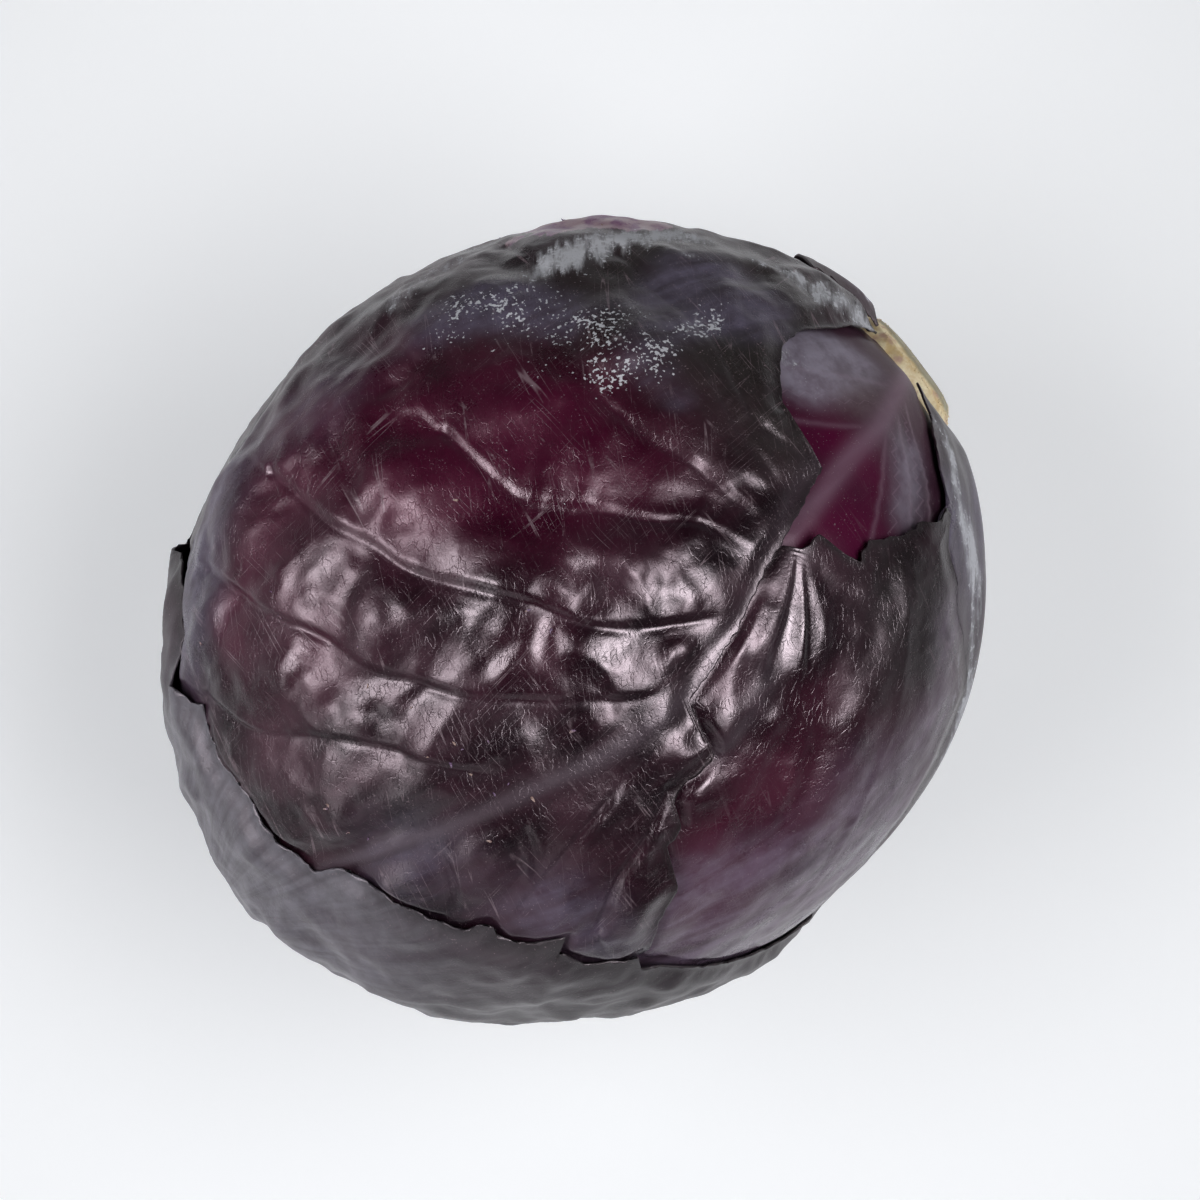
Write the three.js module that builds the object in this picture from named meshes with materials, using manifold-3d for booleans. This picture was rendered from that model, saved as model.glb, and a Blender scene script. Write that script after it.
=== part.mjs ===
// A red cabbage lying on its side: a dense head with a cut stalk, wrapped in five loose outer leaves,
// with the stub of a broken sixth beside the stalk.
// Millimetres, +Z up. +X runs along the growth axis to the cut stalk and the crown is at -X. The head
// lies on a small flattened spot of the outermost leaf, and the origin is on that surface, under the
// middle of the whole cabbage.
//
// Places on the head are given as [polar, turn] in degrees. polar runs from 0 at the stalk to 180 at the
// crown. turn runs round the growth axis: 0 is the top, +90 the +Y side and 180 the underside.

import * as THREE from "three";
import { mergeVertices } from "three/addons/utils/BufferGeometryUtils.js";
import Module from "manifold-3d";

// ---- Driving dimensions -------------------------------------------------------------------------

const headHalf = new THREE.Vector3(83.6, 72.6, 71.0); // half length, width and height of the dense head
const stalkEndTaper = 0.22;  // how much the width draws in towards the two ends of the growth axis
const crownTaper = 0.2;
const crownLean = 2.5;       // how far the crown leans towards -Y
const stalkEndX = 81.0;      // where the stalk end of the dense head is flattened
const stalkEndBlend = 2.5;   // softness of that flattening
const lumpHeight = 0.45;     // the head isn't a perfect egg: slow swells all over it

const bladeThickness = 0.9;
const leafGap = 0.4;
const restDepth = 2.2;       // how deep the underside is pressed flat

const stalkRadius = 15.7;
const stalkCutX = 85.2;      // middle of the cut face
const stalkCutTilt = 10;     // degrees the cut face looks upwards
const stalkSunk = 14;        // length of the stalk inside the head
const socketClearance = 0.5;

const drapeNear = 3;         // a leaf lies at full height until this far outside a margin under it
const drapeFar = 12;         // and is back down on the next layer here
const shelterNear = 1.5;     // ribs fade out under the leaf above between these distances
const shelterFar = 7;

const headScale = 78;        // mm on the surface for one radian of direction, for distances

// ---- The head's surface ---------------------------------------------------------------------------

const radians = THREE.MathUtils.degToRad;
const smoothstep = THREE.MathUtils.smoothstep;

const floorZ = -(headHalf.z + leafGap + bladeThickness) + restDepth;

function direction(polar, turn) {
  const p = radians(polar);
  const t = radians(turn);
  return new THREE.Vector3(Math.cos(p), Math.sin(p) * Math.sin(t), Math.sin(p) * Math.cos(t));
}

// Slow swells of the whole head, the same for every layer.
function swell(d) {
  return lumpHeight * (Math.sin(3.1 * d.x + 1.7 * d.y + 0.6)
    + 0.9 * Math.sin(2.3 * d.y - 3.7 * d.z + 2.1)
    + 0.8 * Math.sin(4.3 * d.z + 2.9 * d.x + 4.4));
}

// The point at a height over the dense head's surface, seen from its middle in direction d.
function pointOnHead(d, height) {
  const taper = 1 - (d.x > 0 ? stalkEndTaper : crownTaper) * d.x ** 6;
  const normal = new THREE.Vector3(d.x / headHalf.x, d.y / headHalf.y, d.z / headHalf.z).normalize();
  const point = new THREE.Vector3(headHalf.x * d.x, headHalf.y * d.y * taper, headHalf.z * d.z * taper);
  point.addScaledVector(normal, height + swell(d));
  point.y += crownLean * Math.min(0, d.x) ** 5;
  const limit = stalkEndX + height;
  point.x = -stalkEndBlend * Math.log(Math.exp(-point.x / stalkEndBlend) + Math.exp(-limit / stalkEndBlend));
  const layersBelow = Math.max(0, leafGap + bladeThickness - height);
  point.z = Math.max(point.z, floorZ + layersBelow);
  return point;
}

// 1 over the flattened spot underneath, 0 well outside it: nothing stands out of the spot.
function overRestSpot(d) {
  return 1 - smoothstep(Math.acos(THREE.MathUtils.clamp(-d.z, -1, 1)) * headScale, 24, 36);
}

// ---- Lines on the surface -------------------------------------------------------------------------

// A line through [polar, turn] places as directions no further apart than lineStep.
const lineStep = 4;

function surfaceLine(places, closed = false) {
  const corners = places.map(([polar, turn]) => direction(polar, turn));
  if (closed) corners.push(corners[0]);
  const line = [corners[0]];
  for (let i = 1; i < corners.length; i += 1) {
    const steps = Math.ceil(THREE.MathUtils.radToDeg(corners[i - 1].angleTo(corners[i])) / lineStep);
    for (let k = 1; k <= steps; k += 1) {
      line.push(corners[i - 1].clone().lerp(corners[i], k / steps).normalize());
    }
  }
  return line;
}

const segment = new THREE.Line3();
const nearest = new THREE.Vector3();

function distanceToLine(d, line) {
  let least = Infinity;
  for (let i = 1; i < line.length; i += 1) {
    segment.set(line[i - 1], line[i]);
    segment.closestPointToPoint(d, true, nearest);
    least = Math.min(least, nearest.distanceToSquared(d));
  }
  return Math.sqrt(least) * headScale;
}

// Places of one margin, read as turn over polar.
function turnAt(margin, polar) {
  const last = margin.length - 1;
  if (polar <= margin[0][0]) return margin[0][1];
  for (let i = 1; i <= last; i += 1) {
    if (polar <= margin[i][0]) {
      const share = (polar - margin[i - 1][0]) / (margin[i][0] - margin[i - 1][0]);
      return THREE.MathUtils.lerp(margin[i - 1][1], margin[i][1], share);
    }
  }
  return margin[last][1];
}

// Directions unrolled on a flat map round a centre, for the test of what lies inside an outline.
function flatMap(centre) {
  const east = new THREE.Vector3(0, 1, 0).cross(centre).normalize();
  const north = centre.clone().cross(east);
  return (d) => {
    const angle = d.angleTo(centre);
    const bearing = Math.atan2(d.dot(north), d.dot(east));
    return new THREE.Vector2(angle * Math.cos(bearing), angle * Math.sin(bearing));
  };
}

function insidePolygon(point, polygon) {
  let inside = false;
  for (let i = 0, j = polygon.length - 1; i < polygon.length; j = i, i += 1) {
    const a = polygon[i];
    const b = polygon[j];
    if ((a.y > point.y) !== (b.y > point.y)
      && point.x < ((b.x - a.x) * (point.y - a.y)) / (b.y - a.y) + a.x) inside = !inside;
  }
  return inside;
}

// ---- Leaves ---------------------------------------------------------------------------------------

// Side ribs that leave a midrib at even steps, lean towards the crown and run out to both margins.
function sideRibs(midrib, first, last, step, reach, lean) {
  const ribs = [];
  for (let polar = first; polar <= last; polar += step) {
    for (const side of [-1, 1]) {
      const rib = [];
      const start = polar + (side > 0 ? step / 2 : 0);
      for (let out = 0; out <= reach; out += reach / 4) {
        rib.push([start + lean * out, turnAt(midrib, start) + side * out]);
      }
      ribs.push(rib);
    }
  }
  return ribs;
}

// The loose leaves from the inside out. left and right are the margins from the stalk to the tip,
// outline is a whole margin for the leaf that reaches past the crown. midrib and ribs stand proud of the
// blade, pleat is how far the blade swells between its ribs, lift is how far the free margin stands off,
// and curls are the places where the margin rolls up.

const sideMidrib = [[18, -60], [60, -84], [100, -98], [112, -102]];
const backMidrib = [[18, 112], [60, 106], [100, 100], [145, 92]];
const wrapperMidrib = [[18, 184], [60, 183], [100, 184], [140, 186], [165, 190]];

const leafPlans = [
  {
    name: "leaf_side",
    colour: "#3d2c3a",
    left: [[17, -12], [22, -26], [28, -29], [32, -34], [35.5, -41], [40, -40], [50, -40], [70, -50],
      [90, -62], [104, -74], [114, -90]],
    right: [[17, -112], [25, -118], [40, -126], [60, -135], [84, -138], [104, -130], [114, -112]],
    midrib: sideMidrib,
    ribs: sideRibs(sideMidrib, 34, 98, 16, 36, 0.5),
    ribHeight: 1.2,
    pleat: 0.9,
    lift: 0.3,
    curls: [],
    columns: 12,
    rowStep: 7,
  },
  {
    name: "leaf_back",
    colour: "#3a2636",
    left: [[17, 160], [30, 152], [60, 150], [90, 152], [120, 150], [140, 140], [150, 118]],
    right: [[17, 62], [25, 54], [45, 48], [80, 50], [120, 48], [140, 54], [150, 78]],
    midrib: backMidrib,
    ribs: sideRibs(backMidrib, 36, 124, 16, 40, 0.5),
    ribHeight: 1.2,
    pleat: 0.5,
    lift: 0.3,
    curls: [],
    columns: 13,
    rowStep: 7,
  },
  {
    name: "leaf_torn",
    colour: "#3f1c33",
    left: [[38, -39], [41, -38], [44, -33], [49, -30], [52, -26.5], [54, -25], [57, -26], [58.5, -23],
      [60.4, -17], [63.5, -17], [65, -15], [70, -14], [76, -8], [90, 0], [105, -4], [120, -14],
      [135, -30], [146, -45]],
    right: [[38, -41], [42.5, -43], [45, -50], [48, -54], [49.5, -61], [51.5, -70], [53.5, -73],
      [60, -75], [69, -78], [78, -83], [90, -90], [105, -96], [120, -98], [135, -90], [146, -76]],
    midrib: [[65, -17.5], [70, -23], [74, -25], [79, -30], [88, -33]],
    ribs: [
      [[64, -27], [72, -35.5], [78.5, -43], [86, -50], [92, -57], [104, -66]],
      [[51, -34], [58, -44], [66, -53.5], [75.5, -61], [83, -69], [94, -78]],
      [[70, -23], [80, -36], [90, -44], [100, -52]],
    ],
    ribHeight: 1.6,
    pleat: 0.8,
    lift: 0.9,
    curls: [{ place: [62, -17], radius: 6, height: 1.6 }],
    columns: 14,
    rowStep: 5,
  },
  {
    name: "leaf_front",
    colour: "#3a1a2c",
    left: [[17, 54], [25, 60], [40, 66], [60, 72], [82, 77], [89, 73], [95, 74], [101, 72], [107, 67],
      [113, 66], [125, 66], [131, 66], [145, 62], [156, 58], [164, 28]],
    right: [[17, 26], [32, 20.5], [40, 20], [45, 17], [49, 11], [52, 5], [53.2, -9], [59, -11.5],
      [64, -13.5], [70, -16], [77, -20], [85, -23], [87.5, -24], [88.5, -33], [91, -34], [94, -34],
      [96, -35.5], [97, -40], [100, -41.5], [101.6, -50], [106, -55], [109.5, -62], [116, -66],
      [130, -62], [145, -60], [156, -56], [164, -28]],
    midrib: [[53.5, -8], [62, -11], [71, -17], [76.5, -19], [85, -22.5], [94, -23], [100, -23], [113, -21],
      [129, -19], [139, -18], [158, -16]],
    ribs: [
      [[53.5, -8], [58, 3], [57, 11], [55.5, 21], [56, 30], [58, 48]],
      [[61, -10], [61, 2], [60, 10], [59, 17], [58.5, 30]],
      [[66, -14], [69, 3], [72, 12], [73.5, 22], [70.5, 35], [68, 46], [70, 62]],
      [[69, -16], [73, -5], [78, 0], [82, 5], [86, 9], [90, 15], [92, 30]],
      [[76, -19], [80, -16], [87, -11.5], [92, -7], [96, 0], [100, 6], [104, 12], [106.5, 17], [108, 24],
        [110.5, 32], [112, 48]],
      [[86, -22.5], [92, -19.5], [98, -15], [104, -10], [110, -4.5], [115, 3], [118, 7.5], [121, 19],
        [126, 34], [128, 52]],
      [[105, -21.5], [112, -17.5], [118.5, -10], [126, 0.5], [132, 8], [140, 21], [143, 42]],
      [[94, -26], [103, -29], [111, -33], [120, -39]],
      [[96, -33], [101, -37], [108, -42.5], [113.5, -50]],
      [[113.5, -21], [113.5, -26], [116, -34], [121, -40]],
      [[125, -20], [126.5, -30], [131, -40]],
    ],
    ribHeight: 1.1,
    pleat: 1.0,
    lift: 0.7,
    curls: [{ place: [27, 60], radius: 7, height: 2.6 }, { place: [53, -8], radius: 6, height: 1.0 }],
    columns: 18,
    rowStep: 5,
  },
  {
    name: "leaf_wrapper",
    colour: "#2c2a2e",
    centre: [108, 182],
    outline: [[127.5, 66], [133.5, 60], [138, 53], [144.5, 54], [144.5, 43], [149, 31], [148.5, 17],
      [149, -1], [147, -10.5], [146, -17], [141, -18.5], [137.5, -25], [135, -32], [131.5, -37.5],
      [130, -41], [125.5, -41], [125, -46], [123, -53.5], [115.5, -60], [111, -61.5], [111.5, -65.5],
      [106, -72], [102, -78], [98, -84], [93, -91], [82, -99], [70, -104], [58, -108], [45, -112],
      [32, -116], [23, -120], [17, -128], [17, -150], [17, 180], [17, 158], [20, 146], [32, 134],
      [48, 124], [66, 116], [84, 110], [100, 102], [112, 94], [121, 84], [126, 74]],
    midrib: wrapperMidrib,
    ribs: sideRibs(wrapperMidrib, 34, 118, 14, 56, 0.42),
    ribHeight: 1.4,
    pleat: 0.5,
    lift: 1.8,
    curls: [{ place: [146, 52], radius: 7, height: 5 }, { place: [128, 67], radius: 6, height: 2.5 }],
    rings: 13,
    sectors: 80,
  },
  {
    name: "leaf_stub",
    colour: "#35262e",
    left: [[17, 66], [22, 80], [26, 84], [30.5, 76]],
    right: [[17, 38], [21, 43], [25, 49], [28, 55], [30.5, 62]],
    midrib: [[17, 49], [24, 56], [30, 66]],
    ribs: [[[17, 60], [26, 76]]],
    ribHeight: 1.5,
    pleat: 0.2,
    lift: 0.3,
    curls: [{ place: [29, 60], radius: 4, height: 1.0 }],
    columns: 6,
    rowStep: 3,
  },
];

const leafWaveHeight = 0.25; // slow crumple of a blade between and across its ribs
const leafWaveCount = 11;

function leafWave(d, order) {
  const k = leafWaveCount;
  return leafWaveHeight * (1 + Math.sin(k * d.x + 0.7 * k * d.y + order)
    * Math.sin(k * d.z - 0.6 * k * d.x + 2.3 * order));
}

// Adds to a plan what the distances need: the margin and the ribs as lines, and the flat map.
function planLeaf(plan, order) {
  const margin = plan.outline ?? [...plan.right, ...[...plan.left].reverse()];
  const edge = surfaceLine(margin, true);
  const middle = plan.centre
    ? direction(...plan.centre)
    : edge.reduce((sum, d) => sum.add(d), new THREE.Vector3()).normalize();
  const toMap = flatMap(middle);
  return {
    ...plan,
    order,
    edge,
    middle,
    toMap,
    edgeMap: edge.map(toMap),
    midribLine: surfaceLine(plan.midrib),
    ribLines: plan.ribs.map((rib) => surfaceLine(rib)),
    curls: plan.curls.map((curl) => ({ ...curl, at: direction(...curl.place) })),
  };
}

const leaves = leafPlans.map(planLeaf);

// Distance outside a leaf's margin, 0 inside it.
function distanceOutside(leaf, d) {
  if (insidePolygon(leaf.toMap(d), leaf.edgeMap)) return 0;
  return distanceToLine(d, leaf.edge);
}

// How high the leaves under this layer lift it.
function stackUnder(layer, d) {
  let height = 0;
  for (const leaf of leaves.slice(0, layer)) {
    height += (bladeThickness + leafGap) * (1 - smoothstep(distanceOutside(leaf, d), drapeNear, drapeFar));
  }
  return height;
}

// 1 where a layer is out in the open, 0 where a leaf over it lies close on it.
function openAbove(layer, d) {
  let open = 1 - overRestSpot(d);
  for (const leaf of leaves.slice(layer)) {
    open = Math.min(open, smoothstep(distanceOutside(leaf, d), shelterNear, shelterFar));
  }
  return open;
}

const midribWidth = 5.5;
const ribWidth = 2.6;
const pleatWidth = 6;
const liftWidth = 3.2;
const curlWidth = 6;

// A midrib is broad and high at the stalk and thins out towards the tip.
function midribRelief(d, line, height) {
  const fromStalk = Math.acos(THREE.MathUtils.clamp(d.x, -1, 1)) / Math.PI;
  const thin = THREE.MathUtils.lerp(1.5, 0.35, Math.min(1, fromStalk * 1.4));
  return height * thin * Math.exp(-((distanceToLine(d, line) / (midribWidth * thin)) ** 2));
}

function leafRelief(leaf, d) {
  const toRib = Math.min(...leaf.ribLines.map((line) => distanceToLine(d, line)));
  let relief = midribRelief(d, leaf.midribLine, leaf.ribHeight);
  relief += 0.3 * leaf.ribHeight * Math.exp(-((toRib / ribWidth) ** 2));
  relief += leaf.pleat * (1 - Math.exp(-((toRib / pleatWidth) ** 2)));
  return relief + leafWave(d, leaf.order);
}

function marginLift(leaf, d) {
  const toEdge = distanceToLine(d, leaf.edge);
  const flutter = 0.7 + 0.3 * Math.sin(23 * d.x + 31 * d.y + 17 * d.z);
  let lift = leaf.lift * flutter * Math.exp(-toEdge / liftWidth);
  for (const curl of leaf.curls) {
    const fromCurl = d.distanceTo(curl.at) * headScale;
    lift += curl.height * Math.exp(-((fromCurl / curl.radius) ** 2) - (toEdge / curlWidth) ** 2);
  }
  return lift;
}

// The height of a leaf's inner face over the dense head.
function leafHeight(leaf, d) {
  return leafGap + stackUnder(leaf.order, d)
    + openAbove(leaf.order + 1, d) * (leafRelief(leaf, d) + marginLift(leaf, d));
}

// ---- Meshes ---------------------------------------------------------------------------------------

// A closed mesh from points and triangles, turned so that its faces point out.
function closedGeometry(points, triangles) {
  let volume = 0;
  for (const [a, b, c] of triangles) volume += points[a].dot(points[b].clone().cross(points[c]));
  const index = triangles.flatMap(([a, b, c]) => (volume > 0 ? [a, b, c] : [a, c, b]));
  const geometry = new THREE.BufferGeometry();
  geometry.setAttribute("position", new THREE.Float32BufferAttribute(points.flatMap((p) => p.toArray()), 3));
  geometry.setIndex(index);
  return geometry;
}

// Two faces of a blade, split alike, joined round their rim. rim lists the margin in order.
function bladeGeometry(leaf, directions, faces, rim) {
  const inner = [];
  const outer = [];
  for (const d of directions) {
    const height = leafHeight(leaf, d);
    inner.push(pointOnHead(d, height));
    outer.push(pointOnHead(d, height + bladeThickness));
  }
  const count = directions.length;
  const triangles = [];
  for (const [a, b, c] of faces) {
    triangles.push([a, b, c]);
    triangles.push([a + count, c + count, b + count]);
  }
  rim.forEach((a, i) => {
    const b = rim[(i + 1) % rim.length];
    triangles.push([b, a, a + count]);
    triangles.push([b, a + count, b + count]);
  });
  return closedGeometry([...inner, ...outer], triangles);
}

// Polar angles of the rows: every corner of both margins, and steps no longer than rowStep between them.
const leastRow = 0.9;

function rowPolars(leaf) {
  const corners = [...leaf.left, ...leaf.right].map(([polar]) => polar).sort((a, b) => a - b);
  const rows = [corners[0]];
  const end = corners[corners.length - 1];
  for (const polar of corners) {
    const from = rows[rows.length - 1];
    if (polar - from < leastRow || (end - polar < leastRow && polar < end)) continue;
    const steps = Math.ceil((polar - from) / leaf.rowStep);
    for (let k = 1; k <= steps; k += 1) rows.push(from + ((polar - from) * k) / steps);
  }
  return rows;
}

// A leaf between its two margins: rows across it from the stalk to the tip.
function stripLeaf(leaf) {
  const rows = rowPolars(leaf);
  const columns = leaf.columns;
  const directions = [];
  for (const polar of rows) {
    const right = turnAt(leaf.right, polar);
    const left = turnAt(leaf.left, polar);
    for (let k = 0; k <= columns; k += 1) {
      directions.push(direction(polar, THREE.MathUtils.lerp(right, left, k / columns)));
    }
  }
  const at = (row, column) => row * (columns + 1) + column;
  const faces = [];
  for (let row = 0; row < rows.length - 1; row += 1) {
    for (let k = 0; k < columns; k += 1) {
      faces.push([at(row, k), at(row + 1, k), at(row + 1, k + 1)]);
      faces.push([at(row, k), at(row + 1, k + 1), at(row, k + 1)]);
    }
  }
  const lastRow = rows.length - 1;
  const rim = [];
  for (let row = 0; row < lastRow; row += 1) rim.push(at(row, 0));
  for (let k = 0; k < columns; k += 1) rim.push(at(lastRow, k));
  for (let row = lastRow; row > 0; row -= 1) rim.push(at(row, columns));
  for (let k = columns; k > 0; k -= 1) rim.push(at(0, k));
  return bladeGeometry(leaf, directions, faces, rim);
}

// The leaf that reaches past the crown: rings round its middle out to the margin.
function roundLeaf(leaf) {
  const margin = new THREE.CatmullRomCurve3(
    leaf.outline.map(([polar, turn]) => direction(polar, turn)), true, "catmullrom", 0.2);
  const edge = margin.getPoints(leaf.sectors).slice(0, leaf.sectors).map((d) => d.normalize());
  const directions = [leaf.middle];
  const ringAxis = new THREE.Vector3();
  for (let ring = 1; ring <= leaf.rings; ring += 1) {
    const share = 1 - (1 - ring / leaf.rings) ** 1.25;
    for (const d of edge) {
      ringAxis.crossVectors(leaf.middle, d).normalize();
      directions.push(leaf.middle.clone().applyAxisAngle(ringAxis, leaf.middle.angleTo(d) * share));
    }
  }
  const at = (ring, sector) => 1 + (ring - 1) * leaf.sectors + (sector % leaf.sectors);
  const faces = [];
  for (let s = 0; s < leaf.sectors; s += 1) {
    faces.push([0, at(1, s), at(1, s + 1)]);
    for (let ring = 1; ring < leaf.rings; ring += 1) {
      faces.push([at(ring, s), at(ring + 1, s), at(ring + 1, s + 1)]);
      faces.push([at(ring, s), at(ring + 1, s + 1), at(ring, s + 1)]);
    }
  }
  const rim = edge.map((_, s) => at(leaf.rings, s));
  return bladeGeometry(leaf, directions, faces, rim);
}

// ---- Dense head and stalk -------------------------------------------------------------------------

// The tight leaf that the tear uncovers beside the stalk: its midrib, and ribs fanning out from the stalk.
const headMidrib = surfaceLine([[18, -13], [30, -9], [39.5, -8], [49, -11], [57, -12], [63, -13], [76, -14]]);
const headRibs = [
  [[18, -18], [29, -18], [37, -25], [43, -34]],
  [[20, -14], [37, -13.5], [46, -19], [54, -25]],
  [[20, -6], [31.5, -4], [42, -1], [50, 2]],
  [[18, 4], [30, 8], [42, 12]],
].map((rib) => surfaceLine(rib));
const headMidribHeight = 1.3;
const headRibHeight = 0.6;

function denseHeadHeight(d) {
  const toRib = Math.min(...headRibs.map((line) => distanceToLine(d, line)));
  const relief = midribRelief(d, headMidrib, headMidribHeight)
    + headRibHeight * Math.exp(-((toRib / ribWidth) ** 2));
  return relief * openAbove(0, d);
}

// Steps are fine beside the stalk and along the top, where the head shows through the tear.
function evenSteps(from, to, step) {
  const count = Math.round((to - from) / step);
  return Array.from({ length: count }, (_, k) => from + k * step);
}

function denseHeadGeometry() {
  const polars = [...evenSteps(5, 70, 5), ...evenSteps(70, 171, 10), 171];
  const turns = [...evenSteps(-48, 36, 6), ...evenSteps(36, 312, 12)];
  const directions = [direction(0, 0)];
  for (const polar of polars) {
    for (const turn of turns) directions.push(direction(polar, turn));
  }
  directions.push(direction(180, 0));
  const at = (row, column) => 1 + row * turns.length + (column % turns.length);
  const crown = directions.length - 1;
  const triangles = [];
  for (let k = 0; k < turns.length; k += 1) {
    triangles.push([0, at(0, k), at(0, k + 1)]);
    for (let row = 0; row < polars.length - 1; row += 1) {
      triangles.push([at(row, k), at(row + 1, k), at(row + 1, k + 1)]);
      triangles.push([at(row, k), at(row + 1, k + 1), at(row, k + 1)]);
    }
    triangles.push([at(polars.length - 1, k), crown, at(polars.length - 1, k + 1)]);
  }
  return closedGeometry(directions.map((d) => pointOnHead(d, denseHeadHeight(d))), triangles);
}

// The cut stub: a turned profile, a little lobed where the leaves left it, with a slanting cut.
function stalkGeometry() {
  const bottom = stalkCutX - stalkSunk;
  const profile = [
    [0, bottom], [13.5, bottom], [14.8, bottom + 3], [15.2, stalkCutX - 4], [stalkRadius, stalkCutX - 1.6],
    [stalkRadius - 0.9, stalkCutX - 0.3], [12, stalkCutX + 0.3], [7, stalkCutX + 0.5], [0, stalkCutX + 0.6],
  ].map(([radius, x]) => new THREE.Vector2(radius, x));
  const geometry = new THREE.LatheGeometry(profile, 36);
  geometry.deleteAttribute("normal");
  geometry.deleteAttribute("uv");
  geometry.rotateZ(-Math.PI / 2);
  const place = geometry.attributes.position;
  const slope = Math.tan(radians(stalkCutTilt));
  for (let i = 0; i < place.count; i += 1) {
    const p = new THREE.Vector3().fromBufferAttribute(place, i);
    const turn = Math.atan2(p.y, p.z);
    const lobes = 1 - 0.018 * (1 - Math.cos(5 * turn + 0.8));
    const cutShare = smoothstep(p.x, bottom + 4, stalkCutX - 1.6);
    place.setXYZ(i, p.x - slope * p.z * cutShare, p.y * lobes, p.z * lobes);
  }
  return mergeVertices(geometry, 1e-4);
}

const wasm = await Module();
wasm.setup();

function asSolid(geometry) {
  return new wasm.Manifold(new wasm.Mesh({
    numProp: 3,
    vertProperties: new Float32Array(geometry.attributes.position.array),
    triVerts: new Uint32Array(geometry.index.array),
  }));
}

// The dense head with the round socket that the stalk sits in.
function socketedHead() {
  const radius = stalkRadius + socketClearance;
  const socket = new THREE.CylinderGeometry(radius, radius, 40, 36);
  socket.deleteAttribute("normal");
  socket.deleteAttribute("uv");
  socket.rotateZ(-Math.PI / 2);
  socket.translate(stalkCutX - stalkSunk - socketClearance + 20, 0, 0);
  const mesh = asSolid(denseHeadGeometry()).subtract(asSolid(mergeVertices(socket, 1e-4))).getMesh();
  const geometry = new THREE.BufferGeometry();
  geometry.setAttribute("position", new THREE.BufferAttribute(mesh.vertProperties, 3));
  geometry.setIndex(new THREE.BufferAttribute(mesh.triVerts, 1));
  return geometry;
}

// ---- The cabbage ----------------------------------------------------------------------------------

const cabbage = new THREE.Group();

function addPiece(name, geometry, colour, roughness) {
  const material = new THREE.MeshStandardMaterial({ color: colour, roughness, metalness: 0 });
  const piece = new THREE.Mesh(geometry, material);
  piece.name = name;
  cabbage.add(piece);
}

addPiece("dense_head", socketedHead(), "#5a1238", 0.35);
addPiece("stalk", stalkGeometry(), "#d9bd84", 0.8);
for (const leaf of leaves) {
  addPiece(leaf.name, leaf.outline ? roundLeaf(leaf) : stripLeaf(leaf), leaf.colour, 0.4);
}

// The origin goes under the middle of the whole cabbage, on the surface that it lies on.
const box = new THREE.Box3().setFromObject(cabbage);
const middle = box.getCenter(new THREE.Vector3());
cabbage.position.set(-middle.x, -middle.y, -box.min.z);

export default cabbage;
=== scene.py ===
import math

import bmesh
import bpy
import numpy as np
from mathutils import Matrix, Vector, kdtree


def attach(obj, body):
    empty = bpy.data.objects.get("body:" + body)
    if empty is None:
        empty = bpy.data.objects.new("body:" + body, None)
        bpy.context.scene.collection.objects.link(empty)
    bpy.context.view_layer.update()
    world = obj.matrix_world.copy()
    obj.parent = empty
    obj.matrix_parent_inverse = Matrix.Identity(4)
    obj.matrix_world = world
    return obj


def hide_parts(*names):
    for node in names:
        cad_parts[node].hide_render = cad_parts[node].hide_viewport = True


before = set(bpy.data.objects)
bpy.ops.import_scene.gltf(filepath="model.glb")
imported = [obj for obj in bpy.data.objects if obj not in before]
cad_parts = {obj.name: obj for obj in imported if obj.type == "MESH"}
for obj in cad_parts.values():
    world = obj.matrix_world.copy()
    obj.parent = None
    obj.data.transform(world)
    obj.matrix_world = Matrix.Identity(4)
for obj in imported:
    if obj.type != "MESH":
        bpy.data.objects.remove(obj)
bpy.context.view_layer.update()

scene = bpy.context.scene
mm = 0.001
headCentre = np.array([-0.7664, 1.4875, 70.1]) * mm  # middle of the dense head in the part's frame

# Places on the head are (polar, turn) in degrees: polar runs from 0 at the stalk to 180 at the crown,
# turn from 0 on top, 90 at the +Y side, to 180 underneath. A spot is a place, a radius in mm and an amount.
headForm = {
    "half": (83.6, 72.6, 71.0),
    "stalkTaper": 0.22,
    "crownTaper": 0.2,
    "crownLean": 2.5,
    "stalkEnd": 81.0,
    "stalkEndBlend": 2.5,
    "swell": 0.45,
    "blade": 0.9,
    "gap": 0.4,
    "restDepth": 2.2,
    "scale": 78.0,  # mm along the surface for one radian
}
bladeForm = {  # mm, or shares of a blade's width
    "thinEdge": 0.5,
    "thinReach": 5,
    "liftFade": 3.2,
    "curlReach": 6,
    "drape": (3, 12),  # how a leaf comes down past the margin of the one under it
    "underneath": (24, 36),  # from the lowest point, pressed smooth
    "coveredEdge": (0.2, 2.4),
    "ribReach": 40.0,
    "toothShare": 0.08,
    "columnDrift": 0.04,
    "coarse": 3,  # every third point carries the inner face
}
layerStep = headForm["blade"] + headForm["gap"]
floorLevel = -(headForm["half"][2] + layerStep) + headForm["restDepth"]


def smoothStep(value, low, high):
    share = np.clip((value - low) / (high - low), 0.0, 1.0)
    return share * share * (3.0 - 2.0 * share)


def directions(polar, turn):
    p = np.radians(np.asarray(polar, float))
    t = np.radians(np.asarray(turn, float))
    return np.stack([np.cos(p), np.sin(p) * np.sin(t), np.sin(p) * np.cos(t)], axis=-1)


def outwardOf(d):
    normal = d / np.array(headForm["half"])
    return normal / np.linalg.norm(normal, axis=-1, keepdims=True)


def swellOf(d):
    x, y, z = d[..., 0], d[..., 1], d[..., 2]
    return headForm["swell"] * (
        np.sin(3.1 * x + 1.7 * y + 0.6)
        + 0.9 * np.sin(2.3 * y - 3.7 * z + 2.1)
        + 0.8 * np.sin(4.3 * z + 2.9 * x + 4.4)
    )


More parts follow.
